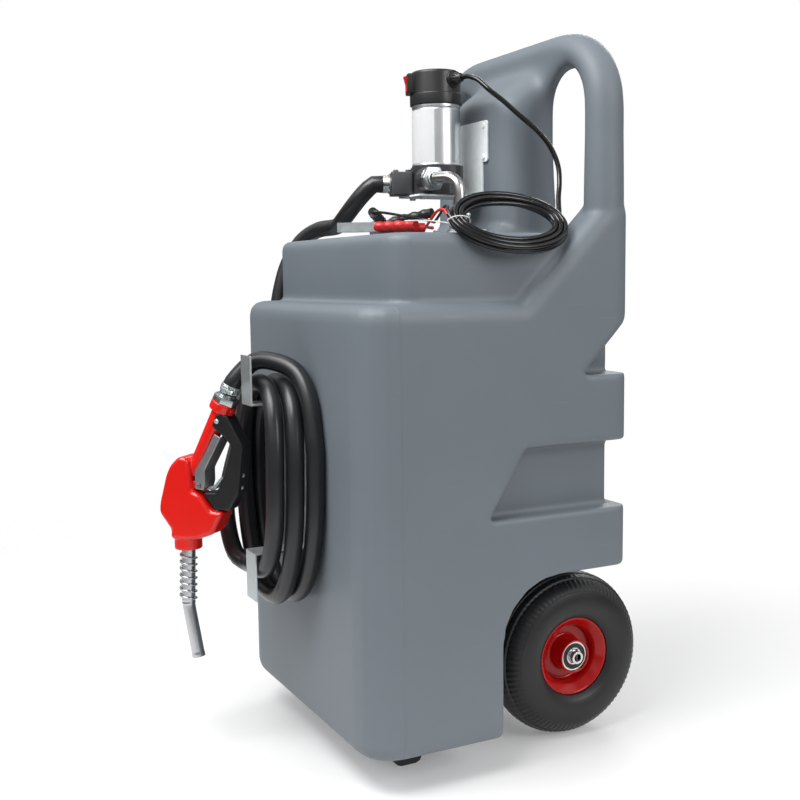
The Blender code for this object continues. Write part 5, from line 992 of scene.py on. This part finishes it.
def knurled(turn, reach, rise):
    """Grips round the gland's neck."""
    if 0.0090 < reach < 0.0095:
        return reach * (0.955 + 0.045 * math.cos(KNURL_COUNT * turn))
    return reach


turned_piece("gland_body", gland, gland_start, gland_way, black_plastic, "caddy", "black_plastic",
             ("cable_gland",), False, 96, knurled)

outlet_grey = surfaced("outlet_casting", (0.060, 0.062, 0.066), 0.40, patches=0.3, patch_size=0.010,
                       spread=0.2, grain=0.0007, bump=0.3)
outlet_slab = slab_mesh(rounded_box(-0.021, 0.021, -OUTLET_REACH, -0.0398, 0.004), HEAD_LOW,
                        HEAD_LOW + 2 * OUTLET_RISE, pump_place, 0.0018)
boss = ((0, 0, 0), (0.0042, 0, 0), (0.0042, 0.0034, 0.0008), (0, 0.0034, 0))
outlet_bosses = []
outlet_screws = []
for x in (-BOSS_SPREAD, BOSS_SPREAD):
    for y in (-0.0665, -0.0475):
        boss_foot = pump_place @ Vector((x, y, HEAD_LOW + 0.0355))
        screw_foot = pump_place @ Vector((x, y, HEAD_LOW + 0.0385))
        outlet_bosses.append(turned_mesh(boss, boss_foot, UP, 32))
        outlet_screws.append(screw_mesh(screw_foot, UP, 0.0030, 0.0016))
show("outlet_casting_block", joined(outlet_slab, *outlet_bosses), outlet_grey, "caddy",
     "black_casting", "outlet_block")
show("outlet_screws", joined(*outlet_screws), zinc, "caddy", "zinc_plate")
barb = [(0, 0, 0), (0.0152, 0, 0.0004), (0.0152, 0.0026, 0.0004), (0.0132, 0.0026, 0.0003)]
for index in range(3):
    barb += [(0.0132, 0.0034 + 0.0030 * index, 0.0001), (0.0142, 0.0036 + 0.0030 * index, 0.0002),
             (0.0130, 0.0060 + 0.0030 * index, 0.0001)]
barb += [(0.0130, BARB_LENGTH, 0.0004), (0, BARB_LENGTH, 0)]
barb_start = outlet_middle + outlet_way * (OUTLET_REACH + SEAT_GAP)
turned_piece("outlet_barb_turning", barb, barb_start, outlet_way, steel, "caddy", "bright_steel",
             ("outlet_barb",), False, 64)

# Suction line: a nut and a polished elbow lead from the pump's side down through a bolted flange
# to a pipe inside the tank.
NUT_FLATS = 0.034
NUT_LENGTH = 0.014
SUCTION_RISE = 0.022
ELBOW_RADIUS = 0.009
DECK_Z = 0.785
FLANGE_THICKNESS = 0.004
UNION_HEIGHT = 0.018
UNION_PLACE = (0.102, 0.229)
nut_outline = hexagon(NUT_FLATS / math.sqrt(3))
inlet = at(0.058, 0.212, HEAD_LOW + SUCTION_RISE)
nut_start = inlet - Vector((NUT_LENGTH, 0, 0))
nut_place = Matrix.Translation(nut_start) @ Matrix(
    ((0, 0, 1, 0), (1, 0, 0, 0), (0, 1, 0, 0), (0, 0, 0, 1)))
nut_ring = turned_mesh(((0, 0, 0), (0.0180, 0, 0.0004), (0.0180, 0.0020, 0.0006), (0, 0.0020, 0)),
                       nut_start, (1, 0, 0))
nut_neck = turned_mesh(((0, 0.0115, 0), (0.0132, 0.0115, 0.0004), (0.0124, NUT_LENGTH, 0.0008),
                        (0.0094, NUT_LENGTH, 0.0004), (0, 0.0132, 0)), nut_start, (1, 0, 0))
nut_hexagon = slab_mesh(nut_outline, 0.0018, 0.0120, nut_place, 0.0012)
nut_zinc = surfaced("nut_zinc", (0.46, 0.50, 0.51), 0.30, 1.0, patches=0.30, patch_size=0.008,
                    spread=0.2, grain=0.0009, bump=0.10)
show("inlet_union_nut", joined(nut_hexagon, nut_ring, nut_neck), nut_zinc, "caddy", "zinc_plate",
     "inlet_nut")


def tube_mesh(points, radius_at, sides=32):
    """A tube along points. radius_at(share) gives its radius from the start, 0, to the end, 1."""
    ring_points = []
    count = len(points)
    normal = None
    for index, point in enumerate(points):
        way = (points[min(index + 1, count - 1)] - points[max(index - 1, 0)]).normalized()
        if normal is None:
            normal = way.orthogonal().normalized()
        normal = (normal - way * normal.dot(way)).normalized()
        binormal = way.cross(normal)
        reach = radius_at(index / (count - 1))
        for side in range(sides):
            turn = 2 * math.pi * side / sides
            ring_points.append(point + (normal * math.cos(turn) + binormal * math.sin(turn)) * reach)
    ends = [tuple(range(sides))[::-1], tuple((count - 1) * sides + i for i in range(sides))]
    mesh = bpy.data.meshes.new("tube")
    mesh.from_pydata(ring_points, [], ring_faces(count, sides) + ends)
    return smooth_shaded(mesh, 50)


union_low = DECK_Z + FLANGE_THICKNESS + 2 * SEAT_GAP
union_top = union_low + UNION_HEIGHT
knee = at(*UNION_PLACE, HEAD_LOW + SUCTION_RISE)
elbow_start = inlet + Vector((SEAT_GAP, 0, 0))
elbow_foot = at(*UNION_PLACE, union_top + SEAT_GAP)
trim = (knee - elbow_start).length * 0.62
above_knee = knee + (elbow_start - knee).normalized() * trim
below_knee = knee - Vector((0, 0, trim))
elbow_line = (straight(elbow_start, above_knee, 5)[:-1] + bend(above_knee, knee, below_knee, 24)
              + straight(below_knee, elbow_foot, 5)[1:])


def elbow_radius(share):
    """The elbow's ends are flared a little where the nut and the clamp hold it."""
    near_end = min(share, 1 - share)
    return ELBOW_RADIUS - 0.0003 * min(max((near_end - 0.10) / 0.04, 0), 1)


show("elbow_tube", tube_mesh(elbow_line, elbow_radius), steel, "caddy", "bright_steel",
     "suction_elbow")

BAND_HALF = 0.006
BAND_THICKNESS = 0.0012
SLOT_COUNT = 16
SLOT_DEGREES = 17.5
THREAD_STEP = 0.0006


def band_clamp(name, centre, way, inner, screw_way, covers, reach=0.0):
    """A worm drive clamp: a band with dark patches painted as the shade in its slots, the housing on it, and
    a screw that sticks out by reach.
    """
    way = Vector(way).normalized()
    across = Vector(screw_way).normalized()
    along = way.cross(across)
    outer = inner + BAND_THICKNESS
    section = ((inner, -BAND_HALF, 0.0002), (inner + 0.0009, -BAND_HALF, 0.0004), (outer, -0.0045, 0.0003),
               (outer, 0.0045, 0.0003), (inner + 0.0009, BAND_HALF, 0.0004), (inner, BAND_HALF, 0.0002))
    band = turned_mesh(section, centre, way, 96, True)
    middle = centre + across * outer
    matrix = Matrix((along, way, across)).transposed().to_4x4()
    matrix.translation = middle
    bridge = slab_mesh(rounded_box(-0.0048, 0.0048, -0.0056, 0.0056, 0.0012, 3), -0.0006, 0.0048,
                       matrix, 0.0010)
    screw_axis = middle + across * 0.0030
    turns = 22 + round(reach / THREAD_STEP)
    shank_line = [screw_axis + along * (-0.0066 + THREAD_STEP * i) for i in range(turns + 1)]
    shank = tube_mesh(shank_line, lambda share: 0.0026 + 0.0004 * math.cos(share * turns * math.pi), 20)
    head = hex_mesh(screw_axis + along * (0.0058 + reach), along, 0.0033, 0.0030)
    # The band's slots are not cut: each is a thin dark patch on the band, painted shade where a hole would
    # be.
    slot_shades = []
    for index in range(SLOT_COUNT):
        turn = math.radians(40 + SLOT_DEGREES * index)
        out = across * math.cos(turn) + along * math.sin(turn)
        side = along * math.cos(turn) - across * math.sin(turn)
        slot = Matrix((side, way, out)).transposed().to_4x4()
        slot.translation = centre + out * outer
        slot_shades.append(slab_mesh(rounded_box(-0.0005, 0.0005, -0.0030, 0.0030, 0.0004, 2), -0.0004,
                               0.00012, slot @ Matrix.Rotation(0.25, 4, "Z"), 0))
    show(name, joined(band, bridge, shank, head), zinc, "caddy", "zinc_plate", *covers)
    show(name + "_slots", joined(*slot_shades), seal_rubber, "caddy", "black_rubber")


band_clamp("elbow_band_clamp", at(*UNION_PLACE, union_top + SEAT_GAP + 0.0066), UP,
           ELBOW_RADIUS + SEAT_GAP, (1, 0, 0), ("elbow_clamp",))
union = [(0, union_low, 0), (0.0125, union_low, 0.0008), (0.0125, union_low + 0.0080, 0.0010),
         (0.0110, union_low + 0.0095, 0.0006), (0.0102, union_top, 0.0006), (0, union_top, 0)]
turned_piece("suction_union", union, at(*UNION_PLACE, 0), UP, steel, "caddy", "bright_steel",
             ("suction_fitting",), False, 64)
dressed("suction_flange", zinc, 0.0007)
dressed("suction_pipe", steel, 0.0005)
dressed("foot_strainer", black_plastic, 0.0005)

# Filler: a black neck stands through the deck beside the pump, sealed by a rubber gasket, and a
# ribbed cap screws onto it.
FILLER_BORE = 0.0265
FILLER_NECK = 0.0310
FILLER_FOOT = 0.767
FILLER_TOP = 0.7990
FLANGE_LOW = 0.7853
FLANGE_TOP = 0.7883
SCREW_CAP_LOW = 0.7886
SCREW_CAP_TOP = 0.8126
SCREW_CAP_ROOF = 0.8019
SCREW_CAP_BORE = 0.0313
RIB_COUNT = 36
filler_axis = at(-0.125, 0.245, 0)
neck = ((FILLER_BORE, FILLER_FOOT, 0.0006), (FILLER_NECK, FILLER_FOOT, 0.0008),
        (FILLER_NECK, FLANGE_LOW, 0.0004), (0.0400, FLANGE_LOW, 0.0005), (0.0400, FLANGE_TOP, 0.0012),
        (FILLER_NECK, FLANGE_TOP, 0.0004), (FILLER_NECK, FILLER_TOP, 0.0008),
        (FILLER_BORE, FILLER_TOP, 0.0006))
turned_piece("filler_neck_ring", neck, filler_axis, UP, black_plastic, "caddy", "black_plastic",
             ("filler_neck",), True, 96)
dressed("cap_gasket", rubber, 0.0004)
screw_cap = (
    (SCREW_CAP_BORE, SCREW_CAP_LOW, 0), (0.0380, SCREW_CAP_LOW, 0.0008),
    (0.0380, SCREW_CAP_TOP - 0.0022, 0.0020), (0.0352, SCREW_CAP_TOP, 0.0016),
    (0.0240, SCREW_CAP_TOP, 0.0008), (0.0228, SCREW_CAP_TOP - 0.0010, 0.0006),
    (0.0060, SCREW_CAP_TOP - 0.0010, 0.0006), (0.0048, SCREW_CAP_TOP - 0.0004, 0.0004),
    (0, SCREW_CAP_TOP - 0.0004, 0), (0, SCREW_CAP_ROOF, 0), (SCREW_CAP_BORE, SCREW_CAP_ROOF, 0))


def grip_ribs(turn, reach, rise):
    """Upright ribs round the cap's skirt."""
    if reach > 0.0362:
        return reach - 0.0011 * (0.5 + 0.5 * math.cos(RIB_COUNT * turn)) ** 2
    return reach


turned_piece("filler_cap_moulding", screw_cap, filler_axis, UP, black_plastic, "screw_cap",
             "black_plastic", ("filler_cap",), True, RIB_COUNT * 8, grip_ribs)

# Cleat: one bent strip of zinc plated steel, fixed to the tank's front. The hose is wound on its
# two arms.
dressed("hose_cleat", zinc, 0.0010, 3)

# Nozzle: a red cover over the cast body, a black guard with three screws, a grey lever with a
# bright latch, and a spout in its spring guard. A worm drive clamp holds the hose on it.
cover_red = surfaced("cover_red", (0.68, 0.012, 0.008), 0.15, patches=0.08, patch_size=0.03,
                     spread=0.08, grain=0.0012, pits=0.0, bump=0.02)
guard_nylon = surfaced("guard_nylon", (0.006, 0.006, 0.007), 0.42, patches=0.3, patch_size=0.02,
                       spread=0.12, grain=0.0006, bump=0.10)
lever_look = surfaced("grey_lever", (0.30, 0.30, 0.31), 0.36, 0.7, patches=0.3, patch_size=0.01,
                      spread=0.15, grain=0.0006, bump=0.12)


def evened(name, voxel, passes):
    """One of the nozzle's solids with its edges run together as a casting's are."""
    return all_smooth(relaxed(rebuilt(nodes[name].data.copy(), voxel), passes))


show("nozzle_cover", evened("nozzle_body", 0.0009, 10), cover_red, "caddy", "red_plastic", "nozzle_body")
show("nozzle_guard_moulding", evened("nozzle_guard", 0.0009, 6), guard_nylon, "caddy", "black_plastic",
     "nozzle_guard")
show("nozzle_lever_casting", evened("nozzle_lever", 0.0007, 20), lever_look, "lever", "grey_lever",
     "nozzle_lever")
dressed("lever_latch", zinc, 0.0005)
dressed("lever_pin", steel, 0.0005)
nozzle_side = (in_nozzle(0, 0, 1) - in_nozzle(0, 0)).normalized()
for sign in (1, -1):
    screw = screw_mesh(in_nozzle(0.0695, 0.5130, sign * 0.0146), nozzle_side * sign, 0.0038, 0.0024)
    show("guard_screw_%s" % ("far" if sign > 0 else "near"), screw, zinc, "caddy", "zinc_plate")
edge_way = (in_nozzle(0.1120, 0.4760) - in_nozzle(0.1030, 0.4050)).normalized()
edge_face = edge_way.cross(nozzle_side)
if edge_face.dot(in_nozzle(1, 0) - in_nozzle(0, 0)) < 0:
    edge_face = -edge_face
edge_screws = [screw_mesh(in_nozzle(0.1030, 0.4050, -0.004) + edge_way * rise - edge_face * 0.0006,
                          edge_face, 0.0030, 0.0020) for rise in (0.0070, 0.0260)]
show("guard_edge_screws", joined(*edge_screws), zinc, "caddy", "zinc_plate")

adapter_start = grip_top + grip_way * SEAT_GAP
adapter_hex = slab_mesh(nut_outline, 0, 0.0105, place_along(adapter_start, grip_way), 0.0009)
adapter_neck = turned_mesh(((0, 0.0095, 0), (0.0150, 0.0095, 0.0005), (0.0150, 0.0120, 0.0006),
                            (0.0130, 0.0124, 0.0004), (0.0130, ADAPTER_LENGTH, 0.0004),
                            (0, ADAPTER_LENGTH, 0)), adapter_start, grip_way, 64)
show("hose_adapter_turning", joined(adapter_hex, adapter_neck), nut_zinc, "caddy", "zinc_plate",
     "hose_adapter")
band_clamp("nozzle_band_clamp", hose_end + grip_way * 0.009, grip_way, HOSE_RADIUS + SEAT_GAP,
           -nozzle_side, ("nozzle_hose_clamp",), 0.0050)

SPOUT_AXIS = 0.0075
SPOUT_RADIUS = 0.0099
SPOUT_TRIM = 0.012
MOUTH_WALL = 0.0013
MOUTH_DEPTH = 0.035
spout_root = in_nozzle(SPOUT_AXIS, 0.313) - Vector((0, 0, SEAT_GAP))
spout_bend = in_nozzle(SPOUT_AXIS - 0.0035, 0.2260)
spout_tip = in_nozzle(0.0190, 0.1420)
first_way = (spout_bend - spout_root).normalized()
second_way = (spout_tip - spout_bend).normalized()
bend_start = spout_bend - first_way * SPOUT_TRIM
bend_end = spout_bend + second_way * SPOUT_TRIM
spout_line = (straight(spout_root, bend_start, 12)[:-1] + bend(bend_start, spout_bend, bend_end, 12)
              + straight(bend_end, spout_tip, 16)[1:])


def spout_radius(share):
    """A sleeve under the spring, a ring pressed in below it, and a rolled lip at the tip."""
    lip = 0.0004 * min(max((share - 0.955) / 0.02, 0), 1)
    ring = 0.0007 * max(1 - abs(share - 0.50) / 0.014, 0)
    sleeve = 0.0008 * min(max((0.485 - share) / 0.01, 0), 1)
    return SPOUT_RADIUS + lip + max(ring, sleeve)


dense = smooth_route([spout_line[0]] + spout_line + [spout_line[-1]], 0.0009)[1:-1]
outside = tube_mesh(dense, spout_radius, 40)
bm = bmesh.new()
bm.from_mesh(outside)
bm.faces.ensure_lookup_table()
mouth_face = bm.faces[len(bm.faces) - 1]
bmesh.ops.inset_region(bm, faces=[mouth_face], thickness=MOUTH_WALL)
deep = bmesh.ops.extrude_face_region(bm, geom=[mouth_face])
sunk = [part for part in deep["geom"] if isinstance(part, bmesh.types.BMVert)]
bmesh.ops.translate(bm, verts=sunk, vec=-second_way * MOUTH_DEPTH)
bmesh.ops.delete(bm, geom=[mouth_face], context="FACES_ONLY")
bm.to_mesh(outside)
bm.free()
# The spout and its spring get a darker copy of the bright steel: painted shade standing in for the dim
# reflections they show.
spout_steel_painted_shade = surfaced("spout_steel_painted_shade", (0.50, 0.51, 0.53), 0.24, 1.0, patches=0.14, patch_size=0.012,
                       spread=0.10, grain=0.0007, bump=0.04)
show("spout_tube", smooth_shaded(outside, 50), spout_steel_painted_shade, "caddy", "bright_steel", "nozzle_spout")
SPRING_TURNS = 7
SPRING_STEPS = 36
SPRING_RADIUS = 0.0123
spring_low, spring_high = (spout_root.lerp(spout_bend, (spout_root.z - z) / (spout_root.z - spout_bend.z))
                           for z in (0.232, 0.306))
spring_flat = first_way.cross(nozzle_side).normalized()
spring_points = []
for index in range(SPRING_TURNS * SPRING_STEPS + 1):
    angle = 2 * math.pi * index / SPRING_STEPS
    middle = spring_low.lerp(spring_high, index / (SPRING_TURNS * SPRING_STEPS))
    out = nozzle_side * math.cos(angle) + spring_flat * math.sin(angle)
    spring_points.append(middle + out * SPRING_RADIUS)
spring = cord_curve("spout_spring_wire", spring_points, 0.0017, spout_steel_painted_shade, 4)
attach(spring, "caddy")
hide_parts("spout_spring")

# Battery clamps: stamped zinc halves on a pin, each handle in a red or black sleeve with
# finger bumps.
sleeve_looks = {
    "red": surfaced("red_sleeve", (0.48, 0.012, 0.012), 0.36, patches=0.15, patch_size=0.01,
                    spread=0.1, grain=0.0006, bump=0.08),
    "black": surfaced("black_sleeve", (0.014, 0.014, 0.015), 0.36, patches=0.3, patch_size=0.01,
                      spread=0.1, grain=0.0006, bump=0.08),
}
sleeve_bodies = {"red_lower": "caddy", "red_upper": "red_jaw", "black_lower": "black_jaw",
                 "black_upper": "caddy"}
MOUTH_SHARE = 60.5 / 64


def sleeve_radius(share):
    """Flared at the jaw's end, bumps along the grip, and an open mouth at the far end."""
    if share > MOUTH_SHARE:
        return 0.0054
    bumps = 0.0009 * math.cos(share * math.pi * 8) * min(share * 5, 1) * (share < 0.8)
    flare = 0.0008 * max(1 - share / 0.10, 0)
    return 0.0072 + bumps + flare


for colour, matrix in clamp_frames.items():
    for half, side in (("lower", -1), ("upper", 1)):
        jaw = dressed("%s_clamp_%s" % (colour, half), zinc, 0.0004)
        jaw.data.materials.append(sleeve_looks[colour])
        start = matrix @ (handle_root(side) + handle_way(side) * 0.004)
        end = matrix @ (handle_root(side) + handle_way(side) * (HANDLE_LENGTH + 0.0040))
        grip_axis = (end - start).normalized()
        for face in jaw.data.polygons:
            along = (face.center - start).dot(grip_axis)
            off = (face.center - start - grip_axis * along).length
            face.material_index = 1 if along > 0.001 and off < 0.0072 else 0
        line = straight(start, end, 60)
        line += [end - grip_axis * (0.0040 * step / 4) for step in range(1, 5)]
        sleeve = tube_mesh(line, sleeve_radius, 28)
        show("%s_sleeve_%s" % (colour, half), sleeve, sleeve_looks[colour],
             sleeve_bodies["%s_%s" % (colour, half)],
             "red_plastic" if colour == "red" else "black_plastic")
    dressed("%s_clamp_pin" % colour, steel, 0.0004)

# Tie: a white twist tie goes once round the loops of the battery lead and holds them together on
# the tank's shoulder. Its ends stick out to the left.
TIE_STEPS = 48
TAIL_STEPS = 20
tie_look = surfaced("tie_wire", (0.70, 0.70, 0.68), 0.45, patches=0.1, patch_size=0.01, grain=0.0006,
                    bump=0.06)
bundle = loop_centre + Vector((0, -0.0830, 0)) + slope_down * 0.001
tie_points = []
for index in range(TIE_STEPS + 1):
    angle = 2 * math.pi * index / TIE_STEPS
    tie_points.append(bundle - Vector((0, 0.0175, 0)) * math.cos(angle)
                      + slope_up * (0.0105 * math.sin(angle)) + slope_down * (0.0008 * angle))
tail_start = tie_points[-1]
for step in range(1, TAIL_STEPS + 1):
    share = step / TAIL_STEPS
    tie_points.append(tail_start + Vector((-0.031, -0.050, 0.012)) * share
                      - Vector((0, 0.002, 0.008)) * share * share)
tie = cord_curve("lead_tie", tie_points, 0.0009, tie_look, 4)
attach(tie, "caddy")
